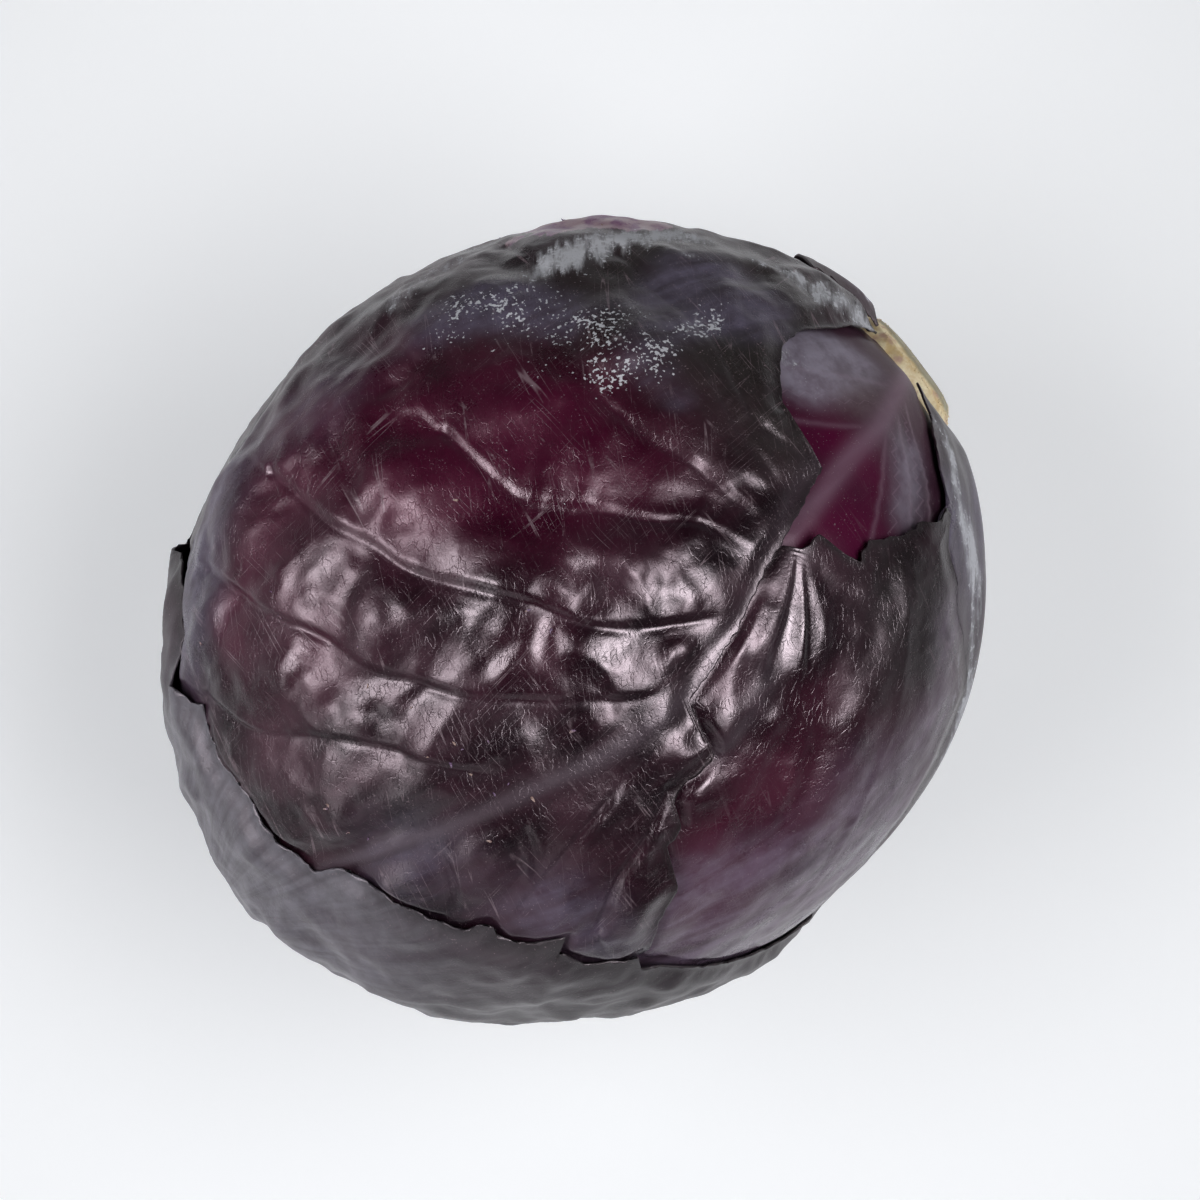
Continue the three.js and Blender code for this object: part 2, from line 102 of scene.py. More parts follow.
def onHead(d, height):  # mm from the middle of the dense head
    taper = 1.0 - np.where(d[:, 0] > 0, headForm["stalkTaper"], headForm["crownTaper"]) * d[:, 0] ** 6
    points = d * np.array(headForm["half"])
    points[:, 1] *= taper
    points[:, 2] *= taper
    height = np.broadcast_to(height, len(d))
    points += outwardOf(d) * (height + swellOf(d))[:, None]
    points[:, 1] += headForm["crownLean"] * np.minimum(0.0, d[:, 0]) ** 5
    blend = headForm["stalkEndBlend"]
    limit = headForm["stalkEnd"] + height
    points[:, 0] = -blend * np.logaddexp(-points[:, 0] / blend, -limit / blend)
    points[:, 2] = np.maximum(points[:, 2], floorLevel + np.maximum(0.0, layerStep - height))
    return points


def smoothPlaces(places, perSpan=4):  # rounds off a given line
    points = np.array(places, float)
    padded = np.vstack([2 * points[0] - points[1], points, 2 * points[-1] - points[-2]])
    line = []
    for i in range(len(points) - 1):
        a, b, c, e = padded[i : i + 4]
        for t in np.arange(perSpan) / perSpan:
            bend = (2 * a - 5 * b + 4 * c - e) * t**2 + (3 * b - a - 3 * c + e) * t**3
            line.append(0.5 * (2 * b + (c - a) * t + bend))
    return np.array(line + [points[-1]])


def lineOnHead(places, closed=False, step=3.0):
    corners = directions([p[0] for p in places], [p[1] for p in places])
    if closed:
        corners = np.vstack([corners, corners[:1]])
    line = [corners[0]]
    for a, b in zip(corners[:-1], corners[1:]):
        angle = math.degrees(math.acos(min(1.0, float(a @ b))))
        count = max(1, math.ceil(angle / step))
        for k in range(1, count + 1):
            point = a + (b - a) * k / count
            line.append(point / np.linalg.norm(point))
    return np.array(line)


def distanceToLine(d, line):  # mm, and +1 on the line's stalk side, -1 on its crown side
    best = np.full(len(d), 1e9)
    side = np.zeros(len(d))
    for a, b in zip(line[:-1], line[1:]):
        along = b - a
        share = np.clip(((d - a) @ along) / (float(along @ along) + 1e-12), 0.0, 1.0)
        offset = d - a - share[:, None] * along
        square = np.einsum("ij,ij->i", offset, offset)
        nearer = square < best
        best[nearer] = square[nearer]
        side[nearer] = offset[nearer, 0]
    return np.sqrt(best) * headForm["scale"], np.sign(side)


def distanceToPoints(d, points):
    tree = kdtree.KDTree(len(points))
    for i, point in enumerate(points):
        tree.insert(point, i)
    tree.balance()
    return np.array([tree.find(point)[2] for point in d]) * headForm["scale"]


def flatMap(d, centre):
    east = np.cross([0.0, 1.0, 0.0], centre)
    east /= np.linalg.norm(east)
    north = np.cross(centre, east)
    angle = np.arccos(np.clip(d @ centre, -1, 1))
    bearing = np.arctan2(d @ north, d @ east)
    return np.stack([angle * np.cos(bearing), angle * np.sin(bearing)], axis=-1)


def insideOutline(points, outline):
    inside = np.zeros(len(points), bool)
    x, y = points[:, 0], points[:, 1]
    for a, b in zip(outline, np.roll(outline, -1, axis=0)):
        if a[1] != b[1]:
            spans = (a[1] > y) != (b[1] > y)
            inside ^= spans & (x < (b[0] - a[0]) * (y - a[1]) / (b[1] - a[1]) + a[0])
    return inside


def polarOf(d):
    return np.arccos(np.clip(d[:, 0], -1, 1))


def waves(values, seed, count=5, spread=1.0):  # uneven seeded wave, about -1 to 1
    draw = np.random.default_rng(seed)
    total = np.zeros(np.shape(values))
    for k in range(count):
        total += np.sin(values * spread * draw.uniform(0.6, 2.4) + draw.uniform(0, 2 * np.pi))
    return total / math.sqrt(count)


def spotAt(d, place, radius):
    distance = np.linalg.norm(d - directions(*place), axis=1) * headForm["scale"]
    return np.exp(-((distance / radius) ** 2))


def spotSum(d, spots):
    return sum((amount * spotAt(d, place, radius) for place, radius, amount in spots), np.zeros(len(d)))


def toLine(d, places):
    return distanceToLine(d, lineOnHead(smoothPlaces(places)))


def bandAlong(d, places, width):
    return np.exp(-((toLine(d, places)[0] / width) ** 2))


# nodes, for shader and geometry trees alike

def makeNode(tree, kind, values=(), **settings):
    node = tree.nodes.new(kind)
    for key, value in settings.items():
        setattr(node, key, value)
    return setInputs(node, values)


def setInputs(node, values):
    for key, value in dict(values).items():
        if isinstance(value, Wire):
            node.id_data.links.new(value.socket, node.inputs[key])
        else:
            node.inputs[key].default_value = value
    return node


class Wire:  # an output socket that adds and multiplies as a number does, by growing its tree
    def __init__(self, socket):
        self.socket = socket
        self.tree = socket.id_data

    def __add__(self, other):
        return calc("ADD", self, other)

    def __radd__(self, other):
        return calc("ADD", other, self)

    def __sub__(self, other):
        return calc("SUBTRACT", self, other)

    def __rsub__(self, other):
        return calc("SUBTRACT", other, self)

    def __mul__(self, other):
        return calc("MULTIPLY", self, other)

    def __truediv__(self, other):
        return calc("DIVIDE", self, other)

    def __rtruediv__(self, other):
        return calc("DIVIDE", other, self)


def wire(tree, kind, values=(), output=0, **settings):
    return Wire(makeNode(tree, kind, values, **settings).outputs[output])


def treeOf(values):
    return next(value.tree for value in values if isinstance(value, Wire))


def calc(operation, *values):
    return wire(treeOf(values), "ShaderNodeMath", enumerate(values), operation=operation)


def clamped(result):
    result.socket.node.use_clamp = True
    return result


def vectorCalc(operation, *values):
    return wire(treeOf(values), "ShaderNodeVectorMath", enumerate(values), operation=operation)


def scaled(vector, amount):
    return wire(vector.tree, "ShaderNodeVectorMath", {0: vector, "Scale": amount}, operation="SCALE")


def ramp(value, low, high, toLow=0.0, toHigh=1.0):
    values = {0: value, 1: low, 2: high, 3: toLow, 4: toHigh}
    return wire(value.tree, "ShaderNodeMapRange", values, interpolation_type="SMOOTHSTEP")


def bell(value, width):  # 1 on a line, falling off over a width either side
    ratio = value / width
    return calc("EXPONENT", ratio * ratio * -1.0)


def noiseAt(vector, scale, detail=2.0, roughness=0.5, distortion=0.0):
    values = {"Vector": vector, "Scale": scale, "Detail": detail, "Roughness": roughness}
    return wire(vector.tree, "ShaderNodeTexNoise", {**values, "Distortion": distortion})


def swirled(vector, scale, detail, amount):  # coordinates pushed about by a noise
    values = {"Vector": vector, "Scale": scale, "Detail": detail}
    return vectorCalc("ADD", vector, scaled(wire(vector.tree, "ShaderNodeTexNoise", values, "Color"), amount))


def combined(tree, values):
    return wire(tree, "ShaderNodeCombineXYZ", values)


# the leaves

def sideRibs(midrib, first, last, step, reach, lean):
    ribs = []
    polars = [m[0] for m in midrib]
    turns = [m[1] for m in midrib]
    polar = first
    while polar <= last:
        for side in (-1, 1):
            start = polar + (step / 2 if side > 0 else 0)
            middle = np.interp(start, polars, turns)
            ribs.append([(start + lean * out, middle + side * out) for out in np.linspace(0, reach, 5)])
        polar += step
    return ribs


sideMidrib = [(18, -60), (60, -84), (100, -98), (112, -102)]
backMidrib = [(18, 112), (60, 106), (100, 100), (145, 92)]
wrapperMidrib = [(18, 184), (60, 183), (100, 184), (140, 186), (165, 190)]

# haze spots below mark a wax haze that is partly painted sheen
leafSide = {
    "name": "leafSide",
    "node": "leaf_side",
    "slot": "outer_leaf",
    "left": [(17, -12), (22, -26), (28, -29), (32, -34), (35.5, -41), (40, -40), (50, -40), (70, -50),
             (90, -62), (104, -74), (114, -90)],
    "right": [(17, -112), (25, -118), (40, -126), (60, -135), (84, -138), (104, -130), (114, -112)],
    "midrib": sideMidrib,
    "ribs": sideRibs(sideMidrib, 34, 98, 16, 36, 0.5),
    "bloomAndReflectionBands": [([(24, -34), (32, -44), (38, -57), (44, -68), (52, -79), (62, -86), (76, -92)], 5.5, 1.0)],
    "bloomAndReflectionSpots": [((26, -70), 10, 0.5), ((50, -100), 14, 0.5)],
    "hazeSpots": [((37, -38), 10, 0.9), ((26, -70), 12, 0.7), ((50, -100), 16, 0.7), ((40, -60), 14, 0.6)],
    "tintSpots": [((84, -100), 20, 0.6)],
    "oliveSpots": [((30, -60), 18, 0.6)],
    "lift": 0.3,
    "jag": 0.25,
    "cells": (180, 120),
    "relief": {"Rib Height": 0.5, "Rib Width": 2.0, "Crease": 0.0, "Ledge": 0.0, "Midrib Height": 1.2,
               "Pillow": 0.7, "Crumple": 0.4, "Wrinkle": 0.06},
    "finish": {"plum": (0.030, 0.014, 0.026, 1), "edge": (0.030, 0.014, 0.022, 1), "scratches": 0.1,
               "streaks": 0.6, "crackle": 0.15},
}
leafBack = {
    "name": "leafBack",
    "node": "leaf_back",
    "slot": "outer_leaf",
    "left": [(17, 160), (30, 152), (60, 150), (90, 152), (120, 150), (140, 140), (150, 118)],
    "right": [(17, 62), (25, 54), (45, 48), (80, 50), (120, 48), (140, 54), (150, 78)],
    "midrib": backMidrib,
    "ribs": sideRibs(backMidrib, 36, 124, 16, 40, 0.5),
    "bloomAndReflectionBands": [([(40, 96), (70, 90), (100, 86), (124, 84)], 13.0, 0.42)],
    "bloomAndReflectionSpots": [((30, 110), 14, 0.6), ((70, 130), 14, 0.5)],
    "hazeSpots": [((30, 110), 14, 0.7), ((70, 130), 16, 0.7), ((110, 90), 18, 0.5)],
    "tintSpots": [((100, 110), 24, 0.5), ((60, 120), 16, 0.4)],
    "oliveSpots": [((28, 110), 18, 0.6)],
    "lift": 0.3,
    "jag": 0.25,
    "cells": (210, 126),
    "relief": {"Rib Height": 0.5, "Rib Width": 1.6, "Crease": 0.1, "Ledge": 0.1, "Midrib Height": 1.2,
               "Pillow": 0.8, "Crumple": 0.6, "Wrinkle": 0.12},
    "finish": {"scratches": 0.3},
}
leafTorn = {
    "name": "leafTorn",
    "node": "leaf_torn",
    "slot": "outer_leaf",
    "left": [(38, -39), (41, -38), (44, -33), (49, -30), (52, -26.5), (54, -25), (57, -26), (58.5, -23),
             (60.4, -17), (63.5, -17), (65, -15), (70, -14), (76, -8), (90, 0), (105, -4), (120, -14),
             (135, -30), (146, -45)],
    "right": [(38, -41), (42.5, -43), (45, -50), (48, -54), (49.5, -61), (51.5, -70), (53.5, -73),
              (60, -75), (69, -78), (78, -83), (90, -90), (105, -96), (120, -98), (135, -90), (146, -76)],
    "midrib": [(65, -17.5), (70, -23), (74, -25), (79, -30), (88, -33)],
    "ribs": [
        [(64, -27), (72, -35.5), (78.5, -43), (86, -50), (92, -57), (104, -66)],
        [(51, -34), (58, -44), (66, -53.5), (75.5, -61), (83, -69), (94, -78)],
        [(70, -23), (80, -36), (90, -44), (100, -52)],
    ],
    "curls": [((62, -17), 6, 1.6)],
    "folds": [
        ([(79, -23), (83, -27), (86, -32)], 2.4, 0.6),
        ([(86, -20), (90, -24), (92, -30), (93, -37)], 3.0, 0.7),
    ],
    "pleats": [
        {
            "tip": (63.5, -15.5),
            "rays": [((79.8, -16), 0.1), ((79, -19.5), 0.3), ((77.8, -23.6), 1.1), ((77, -25), 1.7),
                     ((76.1, -26.6), 1.5), ((75.4, -28), -0.3), ((74.4, -29), -0.2), ((73.2, -30.2), 0.4),
                     ((72.2, -31.3), 1.1), ((71.5, -32.1), 0.1), ((68.5, -34.4), 0.5), ((65, -37), 0.0)],
            "far": (18, 28),
        },
    ],
    "bumps": [((82, -30), 4, 1.1), ((80, -35), 3, 0.9), ((87, -30), 5, 1.3), ((85, -37), 4, 1.0),
              ((91, -38), 6, 0.8), ((72, -37), 5, -0.5), ((60, -33), 6, -0.5)],
    "bloomAndReflectionBands": [([(43, -46), (47, -52), (50, -58), (54, -66), (61, -73), (68, -76), (78, -80)], 2.6, 0.6)],
    "hazeSpots": [((50, -52), 9, 0.6), ((60, -64), 11, 0.6), ((75, -72), 14, 0.7), ((90, -78), 16, 0.8),
                  ((104, -82), 18, 0.8), ((108, -68), 16, 0.7),
                  ((97, -59), 17, 0.9), ((108, -52), 12, 0.7), ((74, -54), 12, 0.5), ((84, -66), 12, 0.5)],
    "crumpleSpots": [((72, -24), 9, 0.5), ((85, -33), 10, 1.4)],
    "fleckSpots": [((112, -60), 30, 0.02)],
    "tintSpots": [((89, -48), 11, 0.9), ((74, -37), 6, 0.7), ((95, -49), 10, 0.8), ((100, -60), 14, 0.6),
                  ((82, -41), 9, 0.7), ((74, -50), 9, 0.5), ((80, -56), 8, 0.4)],
    "oliveSpots": [((54, -34), 10, 0.9), ((50, -48), 12, 0.8), ((62, -44), 10, 0.7)],
    "lift": 0.5,
    "jag": 0.22,
    "cells": (291, 207),
    "relief": {"Rib Height": 0.4, "Rib Width": 2.0, "Midrib Height": 0.2, "Crease": 0.0, "Ledge": 0.1,
               "Pillow": 0.6, "Crumple": 0.5, "Wrinkle": 0.1, "Blister": 0.1, "Margin Hold": 0.5},
    "finish": {"plum": (0.030, 0.005, 0.014, 1), "olive": (0.012, 0.008, 0.009, 1),
               "haze": (0.23, 0.17, 0.25, 1), "scratches": 0.2, "roughness": 0.25},
}
leafFront = {
    "name": "leafFront",
    "node": "leaf_front",
    "slot": "outer_leaf",
    "left": [(18.0, 54), (25, 60), (40, 66), (60, 72), (82, 77), (89, 73), (95, 74), (101, 72), (107, 67),
             (113, 66), (125, 66), (131, 66), (145, 62), (156, 58), (164, 28)],
    "right": [(18.6, 27), (32, 20.5), (40, 20), (45, 17), (49, 11), (52, 5), (53.2, -9), (59, -11.5),
              (64, -13.5), (70, -16), (77, -20), (85, -23), (87.5, -24), (88.5, -33), (91, -34), (94, -34),
              (96, -35.5), (97, -40), (100, -41.5), (101.6, -50), (106, -55), (109.5, -62), (116, -66),
              (130, -62), (145, -60), (156, -56), (164, -28)],
    "midrib": [(53.5, -8), (62, -11), (71, -17), (76.5, -19), (85, -22.5), (94, -23), (100, -23), (113, -21),
               (129, -19), (139, -18), (158, -16)],
    "ribs": [
        [(53.5, -8), (58, 3), (57, 11), (55.5, 21), (56, 30), (58, 48)],
        [(61, -10), (61, 2), (60, 10), (59, 17), (58.5, 30)],
        [(66, -14), (69, 3), (72, 12), (73.5, 22), (70.5, 35), (68, 46), (70, 62)],
        [(69, -16), (73, -5), (78, 0), (82, 5), (86, 9), (90, 15), (92, 30)],
        [(76, -19), (80, -16), (87, -11.5), (92, -7), (96, 0), (100, 6), (104, 12), (106.5, 17), (108, 24),
         (110.5, 32), (112, 48)],
        [(86, -22.5), (92, -19.5), (98, -15), (104, -10), (110, -4.5), (115, 3), (118, 7.5), (121, 19),
         (126, 34), (128, 52)],
        [(105, -21.5), (112, -17.5), (118.5, -10), (126, 0.5), (132, 8), (140, 21), (143, 42)],
        [(94, -26), (103, -29), (111, -33), (120, -39)],
        [(96, -33), (101, -37), (108, -42.5), (113.5, -50)],
        [(113.5, -21), (113.5, -26), (116, -34), (121, -40)],
        [(125, -20), (126.5, -30), (131, -40)],
    ],
    "ribPowers": [0.6, 0.5, 0.45, 0.8, 1.0, 1.0, 0.9, 1.1, 1.1, 1.1, 1.0],
    "curls": [((27, 60), 7, 0.5), ((53, -8), 6, 1.0)],
    "folds": [
        ([(54, -8), (60, -10), (68, -14), (72, -17), (76, -19), (82, -20), (86, -22), (88.5, -27), (89, -32),
          (94, -34)], 3.0, -0.8),
    ],
    "bumps": [((84, -3), 8, 1.5), ((98, 5), 6, 1.2), ((98, -8), 6, 1.2), ((112, 14), 8, 1.6),
              ((122, 28), 8, 1.2), ((92, -17), 7, 0.7), ((66, -8), 7, 1.0), ((132, -4), 8, 0.7),
              ((110, 30), 7, 1.0), ((104, 0), 6, -1.0), ((92, 8), 6, -0.7),
              ((118, 4), 7, -0.7), ((76, 4), 7, -0.7), ((102, 22), 6, -0.8),
              ((118, 44), 8, -0.8), ((128, 12), 7, -0.6)],
    # bloom bands along this top margin: wax bloom and a painted reflection of the bright floor
    "bloomAndReflectionBands": [
        ([(77, 63), (80, 62), (84, 60), (89, 58), (93, 57), (98, 56), (101, 55), (104, 53)], 5.0, 0.72),
        ([(70, 49), (66, 50), (62, 51), (57, 52), (51, 53), (45, 51), (39, 43), (34, 36), (29, 30), (22, 24)],
         6.0, 1.0),
        ([(50, 44), (45, 40), (41, 33), (36, 27)], 3.4, 0.75),
    ],
    "bloomAndReflectionSpots": [((56, 26), 5, 0.45), ((52, 28), 4, 0.4), ((65, 14), 3, 0.5)],
    "hazeSpots": [((76, 45), 8, 1.0), ((71, 38), 7, 0.8), ((84, 47), 7, 0.6),
                  ((66, 22), 7, 0.5), ((65, 14), 5, 0.5), ((60, 32), 10, 0.3), ((50, 36), 11, 0.9),
                  ((46, 26), 9, 0.8), ((56, 30), 8, 0.6), ((100, 50), 14, 0.5),
                  ((140, 54), 20, 0.5), ((128, 62), 16, 0.6), ((115, 62), 14, 0.5), ((112, -58), 14, 0.5),
                  ((130, -22), 17, 0.55), ((116, -42), 12, 0.6)],
    "speckSpots": [((68, 32), 6, 0.9), ((66, 26), 6, 1.0), ((69, 23), 6, 1.0), ((65, 22), 5, 1.0),
                   ((56, 26), 5, 1.0), ((52, 27), 4, 0.9), ((64, 27), 6, 0.8), ((72, 43), 12, 0.75),
                   ((82, 46), 9, 0.7), ((74, 30), 12, 0.5)],
    "crumpleSpots": [((90, -8), 22, 0.5), ((112, 10), 20, 0.5), ((128, 0), 20, 0.3)],
    "scuffSpots": [((74, 80), 5, 1.2), ((68, 77), 5, 1.2), ((64, 72), 6, 1.2), ((59, 66), 6, 1.1),
                   ((54, 62), 6, 0.9), ((63, 60), 4, 0.7), ((68, 63), 4, 0.6), ((50, 60), 4, 0.7)],
    "calm": [((66, -13), 14, 0.7), ((80, -20), 14, 0.7), ((92, -34), 12, 0.5), ((114, -48), 14, 0.7)],
    "tintSpots": [((90, 30), 15, 1.0), ((80, 22), 14, 1.0), ((75, 9), 11, 0.7), ((98, 24), 12, 0.8),
                  ((88, 12), 12, 0.7), ((104, 40), 12, 0.7), ((107, 46), 9, 0.6), ((100, -4), 9, 0.4),
                  ((120, 37), 9, 0.7), ((128, 40), 7, 0.8), ((132, 36), 6, 0.7), ((110, -45), 12, 0.3),
                  ((112, 52), 14, 0.6), ((122, 20), 9, 0.5), ((134, 20), 10, 0.4), ((92, 46), 9, 0.5)],
    "fleckSpots": [((134, -6), 2.5, 1.0), ((136, -10), 2.5, 1.0), ((136, -14), 3, 1.0), ((122, 31), 2.5, 1.0),
                   ((72, 77), 4, 0.7), ((116, -9), 3, 0.8), ((114, -14), 3, 1.0), ((113, -19), 3, 0.7),
                   ((100, -12), 3, 0.4), ((113, 0), 3, 0.6), ((120, 7), 4, 0.6), ((116, 1), 3, 0.5),
                   ((64, 70), 6, 0.4), ((59, 64), 6, 0.3), ((110, 10), 40, 0.03)],
    "oliveSpots": [((52, 22), 20, 1.0), ((45, 40), 20, 0.9), ((62, 40), 16, 0.7), ((56, 0), 9, 0.7),
                   ((80, 44), 14, 0.5)],
    "lift": 0.4,
    "jag": 0.15,
    "cells": (348, 246),
    "relief": {"Rib Height": 0.15, "Midrib Height": 0.6, "Midrib Width": 4.0, "Pillow": 1.6, "Ledge": 1.0,
               "Crease": 0.4, "Crumple": 1.5, "Crumple Size": 20.0, "Wrinkle": 0.06, "Blister": 0.7,
               "Blister Size": 21.0, "Margin Hold": 0.3},
    "finish": {},
}
leafWrapper = {
    "name": "leafWrapper",
    "node": "leaf_wrapper",
    "slot": "old_leaf",
    "centre": (108, 182),
    "outline": [(130.5, 69), (133.5, 62.5), (138, 56.5), (144.5, 56.5), (144.5, 43), (149, 31), (148.5, 17),
                (149, -1), (147, -10.5), (146, -17), (141, -18.5), (137.5, -25), (135, -32), (131.5, -37.5),
                (130, -41), (125.5, -41), (125, -46), (121.5, -49),
                (117.5, -49.5), (119.5, -53), (118, -57), (115.5, -60), (111, -61.5), (111.5, -65.5),
                (106, -72), (102, -78), (98, -84), (93, -91), (82, -99), (70, -104), (58, -108), (45, -112),
                (32, -116), (23, -120), (17, -128), (17, -150), (17, 180), (17, 158), (20, 146), (32, 134),
                (48, 124), (66, 116), (84, 110), (100, 104), (113, 98), (124, 92), (129, 84), (130, 75)],
    "midrib": wrapperMidrib,
    "ribs": sideRibs(wrapperMidrib, 34, 118, 14, 56, 0.42),
    "curls": [((145, 53), 5, 2.6), ((130, 80), 4.5, 2.6)],
    "folds": [([(128, 65), (133, 60), (138, 54), (144, 51), (147, 40), (149, 28), (148, 12)], 4.0, -1.0)],
    "bloomAndReflectionSpots": [((60, 150), 20, 0.3)],
    "hazeSpots": [((120, -60), 60, 0.25), ((168, -150), 40, 0.9), ((150, 110), 34, 0.5),
                  ((156, -20), 26, 1.0), ((148, 40), 16, 0.7)],
    "calm": [((112, 94), 40, 0.9), ((138, 55), 8, 0.6), ((149, 31), 8, 0.35)],
    "tintSpots": [((140, 10), 14, 0.5), ((128, -50), 16, 0.35), ((150, -40), 14, 0.4), ((136, 60), 12, 0.5)],
    "oliveSpots": [((100, 180), 200, 0.25)],
    "lift": 0.25,
    "jag": 0.4,
    "cells": (108, 630),
    "relief": {"Rib Height": 1.0, "Rib Width": 2.4, "Crease": 0.0, "Ledge": 0.0, "Midrib Height": 1.4,
               "Pillow": 1.1, "Crumple": 1.5, "Crumple Size": 12.0, "Wrinkle": 0.2, "Blister": 0.3,
               "Blister Size": 12.0, "Margin Hold": 0.1},
    # its wide dark margin band is painted shade along the rolled margin
    "finish": {"dark": (0.036, 0.026, 0.034, 1), "plum": (0.074, 0.074, 0.075, 1),
               "magenta": (0.060, 0.028, 0.046, 1), "olive": (0.050, 0.050, 0.050, 1),
               "edge": (0.020, 0.016, 0.018, 1), "haze": (0.23, 0.22, 0.26, 1), "darkMargin": (0.8, 4.5),
               "scratches": 0.1, "streaks": 0.7, "hazeAndSheenStreaks": 0.35, "roughness": 0.36, "specular": 0.35},
}
leafStub = {
    "name": "leafStub",
    "node": "leaf_stub",
    "slot": "old_leaf",
    "left": [(17, 66), (21, 78), (25, 80), (28.4, 70)],
    "right": [(17, 33), (21, 39), (25, 46), (28.4, 55)],
    "midrib": [(17, 49), (24, 56), (30, 66)],
    "ribs": [[(17, 60), (26, 76)]],
    "curls": [((26, 70), 3, 1.0)],
    "bloomAndReflectionSpots": [((20, 52), 5, 0.5)],
    "hazeSpots": [((20, 55), 8, 0.6)],
    "oliveSpots": [((24, 60), 30, 0.6)],
    "lift": 0.15,
    "jag": 0.8,
    "cells": (60, 60),
    "relief": {"Rib Height": 0.4, "Midrib Height": 1.2, "Pillow": 0.2, "Ledge": 0.0},
    "finish": {"dark": (0.058, 0.030, 0.036, 1), "plum": (0.12, 0.07, 0.078, 1),
               "edge": (0.036, 0.020, 0.025, 1), "scratches": 0.1, "roughness": 0.45},
}
leaves = [leafSide, leafBack, leafTorn, leafFront, leafWrapper, leafStub]

for order, leaf in enumerate(leaves):
    leaf["order"] = order
    leaf["edge"] = lineOnHead(leaf.get("outline") or leaf["right"] + leaf["left"][::-1], closed=True)
    middle = directions(*leaf["centre"]) if "centre" in leaf else leaf["edge"].sum(axis=0)
    leaf["middle"] = middle / np.linalg.norm(middle)


def distanceOutside(leaf, d):
    distance = distanceToLine(d, leaf["edge"])[0]
    distance[insideOutline(flatMap(d, leaf["middle"]), flatMap(leaf["edge"][:-1], leaf["middle"]))] = 0.0
    return distance


def pleatHeights(d, pleats):  # folds that fan out from a pinched tip
    centre = directions(*pleats["tip"])
    place = flatMap(d, centre)
    ends = flatMap(directions(*zip(*[ray for ray, height in pleats["rays"]])), centre)
    toward = ends.sum(axis=0)
    toward /= np.linalg.norm(toward)

    def bearing(points):
        return np.degrees(np.arctan2(points[:, 0] * toward[1] - points[:, 1] * toward[0], points @ toward))

    heights = np.array([height for ray, height in pleats["rays"]])
    bearings = bearing(ends)
    inOrder = np.argsort(bearings)
    reach = np.linalg.norm(place, axis=1) * headForm["scale"]
    wander = 2.0 * np.sin(reach * 0.23)
    height = np.interp(bearing(place) + wander, bearings[inOrder], heights[inOrder])
    return height * np.minimum(reach / pleats["far"][0], 1) * (1 - smoothStep(reach, *pleats["far"]))


def layersAt(order, d):  # how high the leaves under a layer lift it, and how open it lies to the air
    stack = np.zeros(len(d))
    isOpen = smoothStep(np.arccos(np.clip(-d[:, 2], -1, 1)) * headForm["scale"], *bladeForm["underneath"])
    for leaf in leaves:
        if leaf["order"] == order:
            continue
        outside = distanceOutside(leaf, d)
        if leaf["order"] < order:
            stack += layerStep * (1 - smoothStep(outside, *bladeForm["drape"]))
        else:
            isOpen = np.minimum(isOpen, smoothStep(outside, *bladeForm["coveredEdge"]))
    return stack, isOpen


def meshFrom(name, points, faces, attributes):
    mesh = bpy.data.meshes.new(name)
    mesh.from_pydata((points * mm + headCentre).tolist(), [], faces)
    for key, values in attributes.items():
        values = np.asarray(values, np.float32)
        isVector = values.ndim == 2
        layer = mesh.attributes.new(key, "FLOAT_VECTOR" if isVector else "FLOAT", "POINT")
        layer.data.foreach_set("vector" if isVector else "value", values.ravel())
    form = bmesh.new()
    form.from_mesh(mesh)
    bmesh.ops.recalc_face_normals(form, faces=form.faces)
    form.to_mesh(mesh)
    form.free()
    mesh.shade_smooth()
    obj = bpy.data.objects.new(name, mesh)
    scene.collection.objects.link(obj)
    return obj


def evened(margin, polars, reach=3.5):  # a margin without its teeth, for the columns well inside the blade
    nearness = np.exp(-(((polars[:, None] - polars[None, :]) / reach) ** 2))
    return nearness @ margin / nearness.sum(axis=1)


def stripGrid(leaf):  # rows from the stalk to the tip, columns from margin to margin
    rows, columns = leaf["cells"][0] + 1, leaf["cells"][1] + 1
    first = min(leaf["left"][0][0], leaf["right"][0][0])
    polars = np.linspace(first, leaf["left"][-1][0], rows)
    share = np.linspace(0, 1, columns)
    share -= bladeForm["columnDrift"] * np.sin(2 * np.pi * share)
    seed = leaf["order"] * 10
    widen = leaf["jag"] / np.maximum(0.25, np.sin(np.radians(polars)))
    right = np.interp(polars, *zip(*leaf["right"]))
    left = np.interp(polars, *zip(*leaf["left"]))
    evenRight, evenLeft = evened(right, polars), evened(left, polars)
    right += widen * waves(polars, seed + 1, 6, 1.6) - evenRight
    left += widen * waves(polars, seed + 2, 6, 1.6) - evenLeft
    turns = evenRight[:, None] + (evenLeft - evenRight)[:, None] * share
    tooth = bladeForm["toothShare"]
    turns += right[:, None] * np.exp(-share / tooth) + left[:, None] * np.exp((share - 1) / tooth)
    d = directions(np.repeat(polars, columns), turns.ravel())
    index = np.arange(rows * columns).reshape(rows, columns)
    coarse = index[:: bladeForm["coarse"], :: bladeForm["coarse"]]

    def quads(grid):
        return np.stack([grid[:-1, :-1], grid[1:, :-1], grid[1:, 1:], grid[:-1, 1:]], axis=-1).reshape(-1, 4)

    rim = np.concatenate([index[0, :-1], index[:-1, -1], index[-1, :0:-1], index[:0:-1, 0]])
    return d, quads(index).tolist(), coarse.ravel(), quads(coarse).tolist(), rim.tolist()


